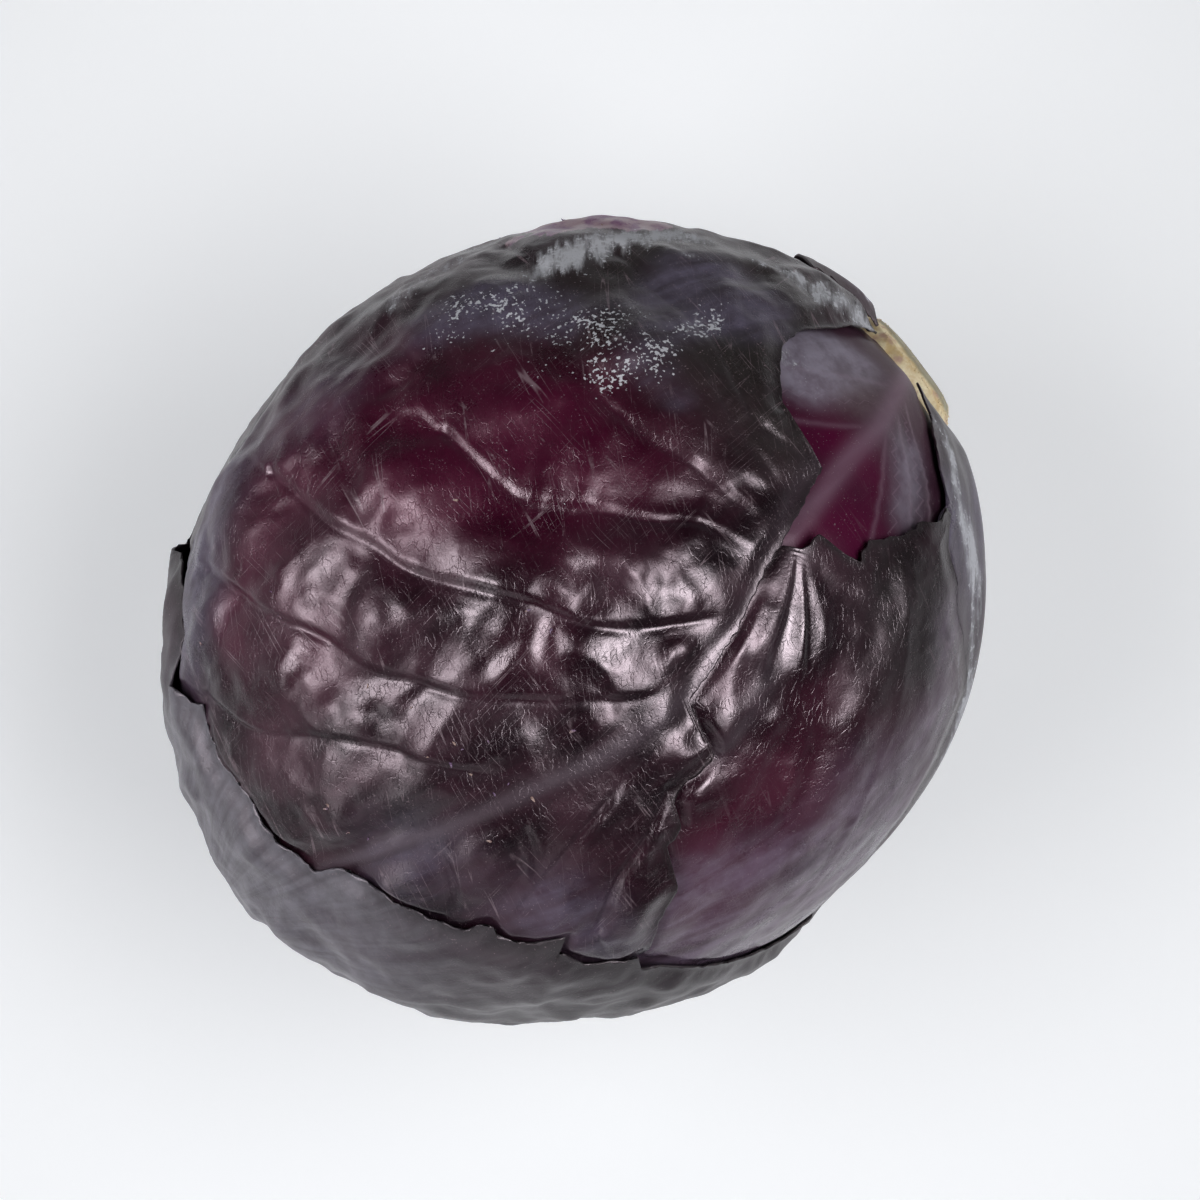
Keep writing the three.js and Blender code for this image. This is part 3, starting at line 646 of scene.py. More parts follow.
def roundGrid(leaf):  # rings from the middle out to a ragged margin
    rings, sectors = leaf["cells"]
    corners = directions(*zip(*leaf["outline"]))
    closed = np.vstack([corners, corners[:1]])
    steps = np.concatenate([[0], np.cumsum(np.linalg.norm(np.diff(closed, axis=0), axis=1))])
    along = np.linspace(0, steps[-1], sectors, endpoint=False)
    margin = np.stack([np.interp(along, steps, closed[:, k]) for k in range(3)], axis=1)
    margin /= np.linalg.norm(margin, axis=1, keepdims=True)
    ragged = leaf["jag"] * (waves(along * 60, 71, 6) + 0.6 * waves(along * 160, 72, 6))
    angle = np.arccos(np.clip(margin @ leaf["middle"], -1, 1)) + np.radians(ragged)
    sideways = margin - np.outer(margin @ leaf["middle"], leaf["middle"])
    sideways /= np.linalg.norm(sideways, axis=1, keepdims=True)
    d = [leaf["middle"][None, :]]
    for ring in range(1, rings + 1):
        reach = (angle * (1 - (1 - ring / rings) ** 1.25))[:, None]
        d.append(np.cos(reach) * leaf["middle"] + np.sin(reach) * sideways)

    def fan(ringIds, stepSize):
        ids = [1 + (ring - 1) * sectors + np.arange(0, sectors, stepSize) for ring in ringIds]
        faces = [(0, a, b) for a, b in zip(ids[0].tolist(), np.roll(ids[0], -1).tolist())]
        for inner, outer in zip(ids[:-1], ids[1:]):
            quads = np.stack([inner, outer, np.roll(outer, -1), np.roll(inner, -1)], axis=1)
            faces += quads.tolist()
        return faces, np.concatenate([[0]] + ids)

    fine = fan(range(1, rings + 1), 1)[0]
    step = bladeForm["coarse"]
    coarseFaces, coarse = fan(range(step, rings + 1, step), step)
    rim = 1 + (rings - 1) * sectors + np.arange(sectors)
    return np.vstack(d), fine, coarse, coarseFaces, rim.tolist()


def makeBlade(leaf):  # closed thin blade: fine outer face, coarser inner face, rim between
    d, fine, coarse, coarseFaces, rim = roundGrid(leaf) if "outline" in leaf else stripGrid(leaf)
    stack, isOpen = layersAt(leaf["order"], d)
    toEdge = distanceToPoints(d, d[rim])
    uneven = 0.7 + 0.3 * np.sin(d @ np.array([23, 31, 17]))
    relief = leaf["lift"] * uneven * np.exp(-toEdge / bladeForm["liftFade"])
    for place, radius, amount in leaf.get("calm", ()):
        relief *= 1 - amount * spotAt(d, place, radius)
    relief += spotSum(d, leaf.get("curls", ())) * np.exp(-((toEdge / bladeForm["curlReach"]) ** 2))
    relief += spotSum(d, leaf.get("bumps", ()))
    for places, width, amount in leaf.get("folds", ()):
        relief += amount * bandAlong(d, places, width)
    for pleats in leaf.get("pleats", ()):
        relief += pleatHeights(d, pleats)
    height = headForm["gap"] + stack + isOpen * relief
    thin = bladeForm["thinEdge"]
    thickness = headForm["blade"] * (thin + (1 - thin) * smoothStep(toEdge, 0, bladeForm["thinReach"]))
    values = {**markValues(leaf, d), **ribValues(leaf, d)}
    values["open"] = isOpen
    values["edgeDistance"] = toEdge
    values = {key: np.concatenate([value, value[coarse]]) for key, value in values.items()}
    points = np.vstack([onHead(d, height + thickness), onHead(d[coarse], height[coarse])])
    innerId = {outer: len(d) + i for i, outer in enumerate(coarse.tolist())}
    innerFaces = [[innerId[i] for i in face[::-1]] for face in coarseFaces]
    start = next(i for i, point in enumerate(rim) if point in innerId)
    rim = rim[start:] + rim[:start]
    stops = [i for i, point in enumerate(rim) if point in innerId] + [len(rim)]
    wall = []
    for a, b in zip(stops[:-1], stops[1:]):
        outer = [rim[i % len(rim)] for i in range(a, b + 1)]
        wall.append(outer + [innerId[outer[-1]], innerId[outer[0]]])
    return meshFrom(leaf["name"], points, fine + innerFaces + wall, values)


def flowOf(d):  # pattern coordinates that run from the stalk to the crown
    turn = np.arctan2(d[:, 1], d[:, 2])
    return np.stack([polarOf(d), 12 * np.cos(turn), 12 * np.sin(turn)], axis=1)


def ribValues(leaf, d):  # distance to the nearest rib, signed towards the stalk, and the way to the next
    nearest = np.full(len(d), 1e3)
    second = np.full(len(d), 1e3)
    side = np.zeros(len(d))
    power = np.ones(len(d))
    for rib, weight in zip(leaf["ribs"], leaf.get("ribPowers") or [1.0] * len(leaf["ribs"])):
        distance, ribSide = toLine(d, rib)
        nearer = distance < nearest
        second = np.where(nearer, nearest, np.minimum(second, distance))
        side[nearer] = ribSide[nearer]
        power[nearer] = weight
        nearest = np.minimum(nearest, distance)
    return {
        "ribAcross": nearest * side,
        "ribShare": 2 * nearest / (nearest + np.minimum(second, bladeForm["ribReach"])),
        "ribSpan": np.minimum(nearest + second, bladeForm["ribReach"]),
        "ribPower": power,
        "midribDistance": toLine(d, leaf["midrib"])[0],
        "fromStalk": polarOf(d) / np.pi,
        "flow": flowOf(d),
        "outward": outwardOf(d),
    }


def markValues(leaf, d):  # where wax, haze and painted sheen, bloom and painted reflection, specks, scuffs and colours lie
    values = {}
    for key in ("crumple", "bloomAndReflection", "haze", "speck", "scuff", "tint", "olive", "fleck"):
        values[key] = np.clip(spotSum(d, leaf.get(key + "Spots", ())), 0, 3 if key == "crumple" else 1)
    for places, width, amount in leaf.get("bloomAndReflectionBands", ()):
        values["bloomAndReflection"] = np.maximum(values["bloomAndReflection"], amount * bandAlong(d, places, width))
    return values


# geometry nodes: ribs, pillows and crumple of a blade, and loose bits on a face

def newTree(name, inputs):  # inputs: name -> default, a whole number for a seed
    tree = bpy.data.node_groups.new(name, "GeometryNodeTree")
    sockets = {"Geometry": ("Geometry", None)}
    for key, value in inputs.items():
        sockets[key] = ("Int" if isinstance(value, int) else "Float", value)
    sockets["Material"] = ("Material", None)
    tree.interface.new_socket(name="Geometry", in_out="OUTPUT", socket_type="NodeSocketGeometry")
    for key, (kind, default) in sockets.items():
        socket = tree.interface.new_socket(name=key, in_out="INPUT", socket_type="NodeSocket" + kind)
        if default is not None:
            socket.default_value = default
    group = tree.nodes.new("NodeGroupInput")
    given = {socket.name: Wire(socket) for socket in group.outputs if socket.name}
    return tree, given, tree.nodes.new("NodeGroupOutput").inputs[0]


def finishTree(geometry, material, result, mark=None):  # with a mark, only faces that carry it are dressed
    tree = geometry.tree
    real = wire(tree, "GeometryNodeRealizeInstances", {0: geometry})
    chosen = {"Selection": calc("GREATER_THAN", named(tree, mark), 0.5)} if mark else {}
    dressed = makeNode(tree, "GeometryNodeSetMaterial", {"Geometry": real, **chosen, "Material": material})
    tree.links.new(dressed.outputs[0], result)


def named(tree, key, kind="FLOAT"):
    return wire(tree, "GeometryNodeInputNamedAttribute", {"Name": key}, data_type=kind)


def makeReliefTree():
    tree, given, result = newTree("leafRelief", {
        "Rib Height": 0.5, "Rib Width": 0.9, "Midrib Height": 1.2, "Midrib Width": 5.0, "Pillow": 1.2,
        "Crease": 0.25, "Ledge": 0.3, "Ledge Reach": 7.0, "Crumple": 0.8, "Crumple Size": 15.0,
        "Wrinkle": 0.22, "Wrinkle Size": 4.5, "Blister": 0.0, "Blister Size": 9.0,
        "Margin Hold": 1.0, "Seed": 0.0,
    })
    across = named(tree, "ribAcross")
    share = calc("MINIMUM", named(tree, "ribShare"), 1.0)
    midribDistance = named(tree, "midribDistance")
    place = wire(tree, "GeometryNodeInputPosition")
    place = vectorCalc("ADD", place, combined(tree, {0: given["Seed"], 1: given["Seed"]}))

    thin = ramp(named(tree, "fromStalk"), 0.1, 0.8, 1.3, 0.4)  # the midrib tapers away from the stalk
    midrib = bell(midribDistance, given["Midrib Width"] * thin) * given["Midrib Height"] * thin

    # across a rib: the cord, the crease beside it, the step up to the blade on the stalk side, the pillow
    cord = bell(across + 0.4, given["Rib Width"]) * given["Rib Height"]
    crease = bell(across - 0.7, 0.7) * given["Crease"]
    fall = calc("EXPONENT", calc("ABSOLUTE", across) * -1.0 / given["Ledge Reach"]) * (1.0 - share)
    ledge = ramp(across, 0.2, 2.2) * fall * given["Ledge"]
    low = 1.0 - share
    pillow = (1.0 - low * low) * given["Pillow"] * ramp(named(tree, "ribSpan"), 4.0, 22.0)
    veins = (cord + ledge - crease) * named(tree, "ribPower") + pillow
    veins = veins * ramp(midribDistance, 2.5, 10.0) * ramp(noiseAt(place, 55, 2), 0.35, 0.6, 0.55, 1.15)

    def unevenness(size, amount, detail, distortion):
        return (noiseAt(place, 1000.0 / size, detail, 0.5, distortion) - 0.5) * (amount * 2.0)

    crumple = unevenness(given["Crumple Size"], given["Crumple"], 1.0, 0.6)
    crumple = crumple + unevenness(given["Wrinkle Size"], given["Wrinkle"], 2.0, 0.3)

    # small veins draw the blade into blisters
    cells = {"Vector": swirled(place, 130, 2, 0.009), "Scale": 1000.0 / given["Blister Size"]}
    cells = wire(tree, "ShaderNodeTexVoronoi", cells, feature="DISTANCE_TO_EDGE")
    patches = ramp(noiseAt(place, 45, 2), 0.35, 0.6, 0.25, 1.0)
    crumple = crumple + ramp(cells, 0.0, 0.32) * given["Blister"] * patches
    crumple = crumple * ramp(midribDistance, 1.5, 7.0, 0.3, 1.0) * (1.0 + named(tree, "crumple"))

    total = (veins + midrib + crumple) * named(tree, "open")
    total = total * ramp(named(tree, "edgeDistance"), 0.5, 6.0, given["Margin Hold"], 1.0) * mm
    shift = scaled(named(tree, "outward", "FLOAT_VECTOR"), total)
    moved = wire(tree, "GeometryNodeSetPosition", {"Geometry": given["Geometry"], "Offset": shift})
    finishTree(moved, given["Material"], result)
    return tree


def scatterBits(given, result, bit, mark, share, spins, sizes):  # copies of a bit, most where share is high
    tree, seed = bit.tree, given["Seed"]
    marked = {"Geometry": bit, "Name": mark, "Value": 1.0}
    bit = wire(tree, "GeometryNodeStoreNamedAttribute", marked, data_type="FLOAT", domain="FACE")
    spots = makeNode(tree, "GeometryNodeDistributePointsOnFaces",
                     {"Mesh": given["Geometry"], "Density": given["Density"] * share, "Seed": seed}).outputs
    spinRange = {0: spins[0], 1: spins[1], "Seed": seed}
    sizeRange = {2: sizes[0], 3: sizes[1], "Seed": seed}
    spin = wire(tree, "FunctionNodeRandomValue", spinRange, data_type="FLOAT_VECTOR")
    size = wire(tree, "FunctionNodeRandomValue", sizeRange, 1, data_type="FLOAT")
    upright = Wire(spots["Rotation"])
    rotation = wire(tree, "FunctionNodeRotateRotation", {0: upright, 1: spin}, rotation_space="LOCAL")
    bits = wire(tree, "GeometryNodeInstanceOnPoints",
                {"Points": Wire(spots["Points"]), "Instance": bit, "Rotation": rotation, "Scale": size})
    both = makeNode(tree, "GeometryNodeJoinGeometry")
    for geometry in (given["Geometry"], bits):
        tree.links.new(geometry.socket, both.inputs[0])
    finishTree(Wire(both.outputs[0]), given["Material"], result, mark=mark)


def makeFleckTree():  # dry crumbs of leaf lying on a blade
    tree, given, result = newTree("dryFlecks", {
        "Density": 60000.0, "Smallest": 0.4, "Largest": 1.1, "Length": 1.2, "Width": 0.45, "Thickness": 0.16,
        "Bend": 0.35, "Seed": 4,
    })
    size = combined(tree, enumerate(given[name] * mm for name in ("Length", "Width", "Thickness")))
    chip = wire(tree, "GeometryNodeMeshCube", {"Size": size, "Vertices X": 6, "Vertices Y": 3})
    parts = makeNode(tree, "ShaderNodeSeparateXYZ", {0: wire(tree, "GeometryNodeInputPosition")}).outputs
    along = Wire(parts[0]) / (given["Length"] * (0.5 * mm))
    narrow, rise = Wire(parts[1]) * (along * along * -0.7), along * along * (given["Bend"] * mm)
    bent = combined(tree, {1: narrow, 2: rise})
    chip = wire(tree, "GeometryNodeSetPosition", {"Geometry": chip, "Offset": bent})
    spins, sizes = ((-0.4, -0.4, 0), (0.4, 0.4, 6.28)), (given["Smallest"], given["Largest"])
    scatterBits(given, result, chip, "crumb", named(tree, "fleck"), spins, sizes)
    return tree


def applyTree(obj, tree, values):
    modifier = obj.modifiers.new(tree.name, "NODES")
    modifier.node_group = tree
    for item in tree.interface.items_tree:
        if item.in_out == "INPUT" and item.name in values:
            modifier[item.identifier] = values[item.name]
    graph = bpy.context.evaluated_depsgraph_get()
    shaped = obj.evaluated_get(graph)
    mesh = bpy.data.meshes.new_from_object(shaped, preserve_all_data_layers=True, depsgraph=graph)
    obj.modifiers.clear()
    old = obj.data
    obj.data = mesh
    bpy.data.meshes.remove(old)
    mesh.name = obj.name


# finishes

def newMaterial(name):
    material = bpy.data.materials.new(name)
    material.use_nodes = True
    tree = material.node_tree
    tree.nodes.clear()
    shader = tree.nodes.new("ShaderNodeBsdfPrincipled")
    output = tree.nodes.new("ShaderNodeOutputMaterial")
    tree.links.new(shader.outputs[0], output.inputs[0])
    return material, shader, wire(tree, "ShaderNodeTexCoord", output="Object")


def mixColour(share, low, high):
    return wire(share.tree, "ShaderNodeMix", {0: share, 6: low, 7: high}, 2, data_type="RGBA")


def attribute(tree, key, output="Fac"):
    return wire(tree, "ShaderNodeAttribute", output=output, attribute_name=key)


def turned(vector, degrees, stretch):  # pattern coordinates whose first axis lies at a bearing
    turn = {"Vector": vector, "Angle": -math.radians(degrees)}
    turn = wire(vector.tree, "ShaderNodeVectorRotate", turn, rotation_type="Z_AXIS")
    return vectorCalc("MULTIPLY", turn, stretch)


def bumped(height, strength, depth):
    values = {"Height": height, "Strength": strength, "Distance": depth}
    return wire(height.tree, "ShaderNodeBump", values)


leafGrain = {  # size, detail and roughness of each noise
    "broad": (60, 3),
    "mottled": (260, 4, 0.6),
    "fine": (1800, 3, 0.6),
    "streak": (1.6, 3, 0.55),
    "fibre": (5.0, 4, 0.6),
    "stroke": (1.0, 4, 0.65),
    "scratchPatch": (90, 5, 0.7),
    "rubbed": (42, 3, 0.55),
    "crumbs": (900, 4, 0.7),
    "specks": (1350, 2, 0.5),
    "speckClumps": (170, 3, 0.6),
    "dust": (2600, 2, 0.5),
    "smoothPatch": (330, 3, 0.6),
}
leafFinish = {
    "dark": (0.005, 0.001, 0.003, 1),
    "plum": (0.028, 0.0035, 0.012, 1),
    "magenta": (0.064, 0.0008, 0.019, 1),
    "olive": (0.026, 0.022, 0.021, 1),
    "rib": (0.085, 0.062, 0.078, 1),
    "edge": (0.014, 0.010, 0.011, 1),
    # bloom: a chalky wax bloom, in places also a painted reflection of the bright floor
    "bloomAndReflection": (0.66, 0.68, 0.73, 1),
    # haze: a lilac-grey wax haze that on the flanks and the wrapper is also painted sheen
    "haze": (0.16, 0.14, 0.21, 1),
    "scratch": (0.30, 0.22, 0.25, 1),
    "scuffDark": (0.24, 0.08, 0.21, 1),
    "scuffPale": (0.48, 0.32, 0.37, 1),
    "roughness": 0.28,
    "bloomAndReflectionRoughness": 0.75,
    "specular": 0.42,
    "sheenTint": (1.0, 0.86, 0.94, 1),
    "scratches": 0.62,
    # each set of scratches: its bearing, the slide of its pattern and its width
    "scratchSets": [(80, 0.0, 0.015), (95, 3.1, 0.012), (60, 7.7, 0.011), (8, 5.2, 0.009)],
    "scratchStretch": (12, 520, 14),
    "darkMargin": (0.6, 2.6),  # mm from the margin over which the colour darkens
    "midribShow": (0.3, 0.75),  # near the stalk and near the tip
    "midribWidth": 3.0,
    "ribShow": 0.08,
    "streaks": 0.3,
    "hazeAndSheenStreaks": 0.6,
    "brush": (80, 560, 150),
    "crackle": 0.2,
}


def makeLeafMaterial(name, changes):
    finish = {**leafFinish, **changes}
    material, shader, place = newMaterial(name)
    marks = {key: attribute(place.tree, key) for key in (
        "olive", "tint", "haze", "scuff", "bloomAndReflection", "speck",
        "edgeDistance", "ribAcross", "fromStalk", "midribDistance",
    )}

    def grain(key, vector=place):
        return noiseAt(vector, *leafGrain[key])

    broad = grain("broad")
    mottled = grain("mottled")
    fine = grain("fine")

    flow = attribute(place.tree, "flow", "Vector")
    streak = grain("streak", flow)
    drawn = (streak + grain("fibre", flow)) * (0.5 * finish["streaks"])
    tone = broad * (1.0 - finish["streaks"]) + drawn
    colour = mixColour(ramp(tone, 0.35, 0.65), finish["dark"], finish["plum"])
    olive = clamped(marks["olive"] * ramp(mottled, 0.2, 0.6, 0.6, 1.0))
    colour = mixColour(olive, colour, finish["olive"])
    patchy = clamped(marks["tint"] * ramp(broad, 0.25, 0.65, 0.5, 1.0))
    colour = mixColour(patchy, colour, finish["magenta"])

    # darker towards the margin; along the wrapper's rolled margin this is painted shade
    darkMargin = ramp(marks["edgeDistance"] + mottled, *finish["darkMargin"], 0.85, 0.0)
    colour = mixColour(darkMargin, colour, finish["edge"])
    thin = ramp(marks["fromStalk"], 0.1, 0.8, 1.2, 0.5)
    midribMask = bell(marks["midribDistance"], thin * finish["midribWidth"])
    midribMask = midribMask * ramp(marks["fromStalk"], 0.40, 0.58, *finish["midribShow"])
    ribMask = calc("MAXIMUM", bell(marks["ribAcross"], 0.8) * finish["ribShow"], midribMask)
    colour = mixColour(ribMask, colour, finish["rib"])

    # long fine scratches, mostly one way, each set broken into patches
    bent = swirled(place, 38, 1, 0.0030)
    lines = []
    for degrees, slide, width in finish["scratchSets"]:
        along = turned(vectorCalc("ADD", bent, (slide, slide, 0)), degrees, finish["scratchStretch"])
        line = ramp(calc("ABSOLUTE", noiseAt(along, 1.0, 0.0) - 0.5), 0.0, width, 1.0, 0.0)
        patch = grain("scratchPatch", vectorCalc("ADD", place, (0, slide, slide)))
        lines.append(line * ramp(patch, 0.49, 0.67))
    scratchMask = lines[0]
    for line in lines[1:]:
        scratchMask = calc("MAXIMUM", scratchMask, line)
    scratchMask = clamped(scratchMask * (1.0 - midribMask)) * finish["scratches"]
    colour = mixColour(scratchMask, colour, finish["scratch"])

    # wax and painted light: soft haze that is partly painted sheen, scuffs, a chalky bloom rubbed off in
    # strokes that is partly a painted reflection of the floor, crisp specks and dust
    # painted sheen: the haze also stands for the lamps' and the floor's sheen on the flanks
    haze = ramp(marks["haze"], 0.15, 0.9) * ramp(mottled, 0.25, 0.7, 0.5, 1.0)
    haze = haze * ramp(streak, 0.3, 0.65, 1.0 - finish["hazeAndSheenStreaks"], 1.0)
    colour = mixColour(clamped(haze * 0.75), colour, finish["haze"])
    scuff = ramp(marks["scuff"] + grain("stroke", turned(place, 30, (120, 420, 200))), 0.94, 1.10)
    scuffTone = mixColour(ramp(mottled, 0.4, 0.6), finish["scuffDark"], finish["scuffPale"])
    colour = mixColour(scuff * 0.8, colour, scuffTone)
    brushed = (grain("stroke", turned(place, 55, finish["brush"])) - 0.5) * 1.2
    brushed = brushed * ramp(marks["bloomAndReflection"], 0.0, 0.3)
    rubbed = ramp(grain("rubbed"), 0.38, 0.60, 0.45, 1.0)  # patches wiped thinner
    cover = marks["bloomAndReflection"] * rubbed * 0.62 + brushed * rubbed
    crumbs = cover + (grain("crumbs") - 0.5) * 1.5
    bloomAndReflection = calc("MAXIMUM", ramp(cover, 0.25, 0.66) * 0.72, ramp(crumbs, 0.45, 0.62) * 0.8)
    spotted = grain("specks") + marks["speck"] * 0.26 + grain("speckClumps") * 0.55
    bloomAndReflection = calc("MAXIMUM", bloomAndReflection, ramp(spotted, 1.12, 1.17) * 0.8)
    dust = ramp(grain("dust") + mottled * 0.3, 0.82, 0.90)
    colour = mixColour(dust * 0.55, colour, finish["scratch"])
    colour = mixColour(bloomAndReflection, colour, finish["bloomAndReflection"])

    rough = ramp(broad, 0.3, 0.7, finish["roughness"] - 0.07, finish["roughness"] + 0.07)
    rough = rough + fine * 0.08 + bloomAndReflection * (finish["bloomAndReflectionRoughness"] - finish["roughness"])

    warped = turned(swirled(place, 500, 2, 0.0011), 60, (0.6, 1.15, 1.15))
    cells = {"Vector": warped, "Scale": 700}
    cells = wire(place.tree, "ShaderNodeTexVoronoi", cells, feature="DISTANCE_TO_EDGE")
    crackle = calc("MAXIMUM", ramp(cells, 0.0, 0.07), ramp(grain("smoothPatch"), 0.42, 0.56))
    height = crackle * (0.12 * finish["crackle"]) + mottled * 0.02 + fine * 0.04 - scratchMask * 0.02
    setInputs(shader, {"Base Color": colour, "Roughness": rough, "Specular IOR Level": finish["specular"],
                       "Specular Tint": finish["sheenTint"], "Normal": bumped(height, 1.0, mm)})
    return material


def makePlainMaterial(name, scale, band, low, high, roughness):  # two tones of one dry colour
    material, shader, place = newMaterial(name)
    colour = mixColour(ramp(noiseAt(place, scale, 2), *band), low, high)
    setInputs(shader, {"Base Color": colour, "Roughness": roughness})
    return material


reliefTree = makeReliefTree()
fleckTree = makeFleckTree()
crumbTones = ((0.13, 0.06, 0.15, 1), (0.32, 0.20, 0.17, 1))
crumbMaterial = makePlainMaterial("dryCrumb", 400, (0.42, 0.58), *crumbTones, 0.7)
for leaf in leaves:
    blade = makeBlade(leaf)
    material = makeLeafMaterial(leaf["name"] + "Skin", leaf["finish"])
    applyTree(blade, reliefTree, {**leaf["relief"], "Seed": 0.31 * leaf["order"], "Material": material})
    if "fleckSpots" in leaf:
        applyTree(blade, fleckTree, {"Seed": leaf["order"], "Material": crumbMaterial})
    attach(blade, "root")
    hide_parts(leaf["node"])
    print(leaf["name"], "done:", len(blade.data.vertices), "points")

# the dense head inside, seen between the leaves beside the stalk
denseHead = {
    "name": "denseHead",
    "rows": 170,
    "columns": 170,
    "polars": (14.0, 164.0),  # where the rows start, and how far they reach
    "socketPolar": (15.2, 16.0),
    "socketDepth": 13.0,
    "farFromEdge": 50.0,
    "midrib": [(22, -4), (29, -7), (37.8, -10.3), (46.8, -10.8), (55.5, -12.5), (62.3, -13.8), (76, -18)],
    "ribs": [[(28, -7), (34, 2), (42, 9), (52, 16)], [(40, -10), (48, -2), (56, 6)],
             [(37.8, -12), (44.3, -19.8), (51.3, -25), (60, -32)],
             [(33, -12), (38, -24.3), (43.3, -31), (52, -40)],
             [(29, -12), (34.3, -29.5), (39, -36), (48, -46)]],
    "bloomAndReflectionSpots": [((43, 15), 5, 0.55), ((39, 13), 6, 0.5), ((45, 6), 4, 0.4), ((34, 14), 5, 0.4)],
    "hazeSpots": [((43, 16), 8, 1.0), ((39, 11), 6, 0.9), ((46, 7), 6, 0.6), ((34, 14), 7, 0.6),
                  ((30, 4), 6, 0.4),
                  ((36, -24), 8, 0.55), ((44, -30), 8, 0.5), ((38, -2), 12, 0.3)],
    "tintSpots": [((60, -20), 18, 1.0), ((57, -6), 15, 1.0), ((50, -14), 11, 0.8)],
    "oliveSpots": [((38, 0), 9, 0.7), ((26, -6), 14, 0.4)],
    "relief": {"Rib Height": 0.5, "Midrib Height": 1.2, "Pillow": 0.3, "Ledge": 0.0, "Crumple": 0.3,
               "Wrinkle": 0.06},
    "finish": {"dark": (0.035, 0.012, 0.024, 1), "plum": (0.062, 0.026, 0.046, 1),
               "magenta": (0.080, 0.0006, 0.028, 1), "olive": (0.13, 0.085, 0.09, 1),
               "rib": (0.25, 0.155, 0.215, 1), "haze": (0.38, 0.35, 0.44, 1), "ribShow": 0.3,
               "midribShow": (0.6, 0.6), "midribWidth": 2.3, "scratches": 0.1, "roughness": 0.34,
               "crackle": 0.08, "specular": 0.07, "hazeAndSheenStreaks": 0.15, "brush": (260, 420, 300)},
}


def closedRings(name, points, sectors, values):  # a first point, rings of points, a last point
    ring = np.arange(1, len(points) - 1).reshape(-1, sectors)
    following = np.roll(ring, -1, axis=1)
    quads = np.stack([ring[:-1], ring[1:], following[1:], following[:-1]], axis=-1).reshape(-1, 4).tolist()
    caps = [[0, a, b] for a, b in zip(ring[0].tolist(), following[0].tolist())]
    caps += [[len(points) - 1, b, a] for a, b in zip(ring[-1].tolist(), following[-1].tolist())]
    return meshFrom(name, points, quads + caps, values)


def makeDenseHead(plan):
    start, reach = plan["polars"]
    polars = start + reach * np.linspace(0, 1, plan["rows"] + 1)[1:-1] ** 1.35
    turns = np.linspace(-180, 180, plan["columns"], endpoint=False)
    d = directions(np.repeat(polars, plan["columns"]), np.tile(turns, len(polars)))
    d = np.vstack([[[1.0, 0, 0]], d, [[-1.0, 0, 0]]])
    points = onHead(d, np.zeros(len(d)))
    points[:, 0] -= plan["socketDepth"] * (1 - smoothStep(np.degrees(polarOf(d)), *plan["socketPolar"]))
    values = {**markValues(plan, d), **ribValues(plan, d)}
    values["open"] = layersAt(-1, d)[1]
    values["edgeDistance"] = np.full(len(d), plan["farFromEdge"])
    return closedRings(plan["name"], points, plan["columns"], values)


innerHead = makeDenseHead(denseHead)
innerSkin = makeLeafMaterial("innerSkin", denseHead["finish"])
applyTree(innerHead, reliefTree, {**denseHead["relief"], "Material": innerSkin})
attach(innerHead, "root")
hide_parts("dense_head")
print("dense head done")

# the cut stalk: a dried, fibrous face with a pale rind and a darker grey-green middle, partly its own colour
# and partly painted shade
stalkPlan = {
    "radius": 15.2,
    "cutX": 85.2,
    "tilt": 10.0,
    "depth": 14.0,
    "shoulder": 2.4,
    "shortSide": 0.90,
    "shift": 0.6,
    "rings": 60,
    "sectors": 160,
    "backs": (0.6, 1.4, 2.6, 4.5, 8.0, 14.0),  # mm behind the cut, down the side
    "ridges": [(3, 0.018, 1), (7, 0.012, 2.2), (19, 0.006, 0)],  # count round the stalk, height, slide
    "fibrePale": (0.98, 0.86, 0.58, 1),
    "fibreDark": (0.70, 0.50, 0.22, 1),
    "blotch": (0.60, 0.38, 0.27, 1),
    # the face's middle: a grey-green that is partly painted shade
    "middle": (0.17, 0.18, 0.13, 1),
    "side": (0.50, 0.30, 0.27, 1),
}


def makeStalk(plan):
    slope = math.tan(math.radians(plan["tilt"]))
    turns = np.linspace(0, 2 * np.pi, plan["sectors"], endpoint=False)
    uneven = 1.0
    for count, amount, slide in plan["ridges"]:
        uneven = uneven + amount * np.sin(count * turns + slide)
    floorX = plan["cutX"] - plan["depth"] - 2.0
    rows, shares = [], []

    def addRing(radius, share, offset, lowest=-1e3):
        y, z = radius * np.sin(turns), radius * np.cos(turns)
        rows.append(np.stack([np.maximum(plan["cutX"] - slope * z + offset, lowest), y, z], axis=1))
        shares.append(np.full(len(turns), share))

    for share in np.linspace(0.03, 1.0, plan["rings"]):
        hollow = 0.7 - 0.9 * np.exp(-((share / 0.45) ** 2)) - 1.3 * smoothStep(share, 0.72, 1.0)
        addRing(plan["radius"] * share * uneven, share, hollow)
    for k, back in enumerate(plan["backs"]):
        addRing(plan["radius"] * uneven * (1.0 + 0.01 * k), 1.05 + 0.02 * k, -0.5 - back, floorX)
    points = np.vstack(rows)
    points[:, 0] -= plan["shoulder"] * np.abs(points[:, 1] / plan["radius"]) ** 4
    points[:, 1] *= np.where(points[:, 1] < 0, plan["shortSide"], 1.0)
    points[:, 1] += plan["shift"]
    points = np.vstack([[[plan["cutX"] - 0.9, 0, 0]], points, [[floorX, 0, 0]]])
    shares = np.concatenate([[0.0], *shares, [1.3]])
    return closedRings("cutStalk", points, plan["sectors"], {"faceShare": shares})


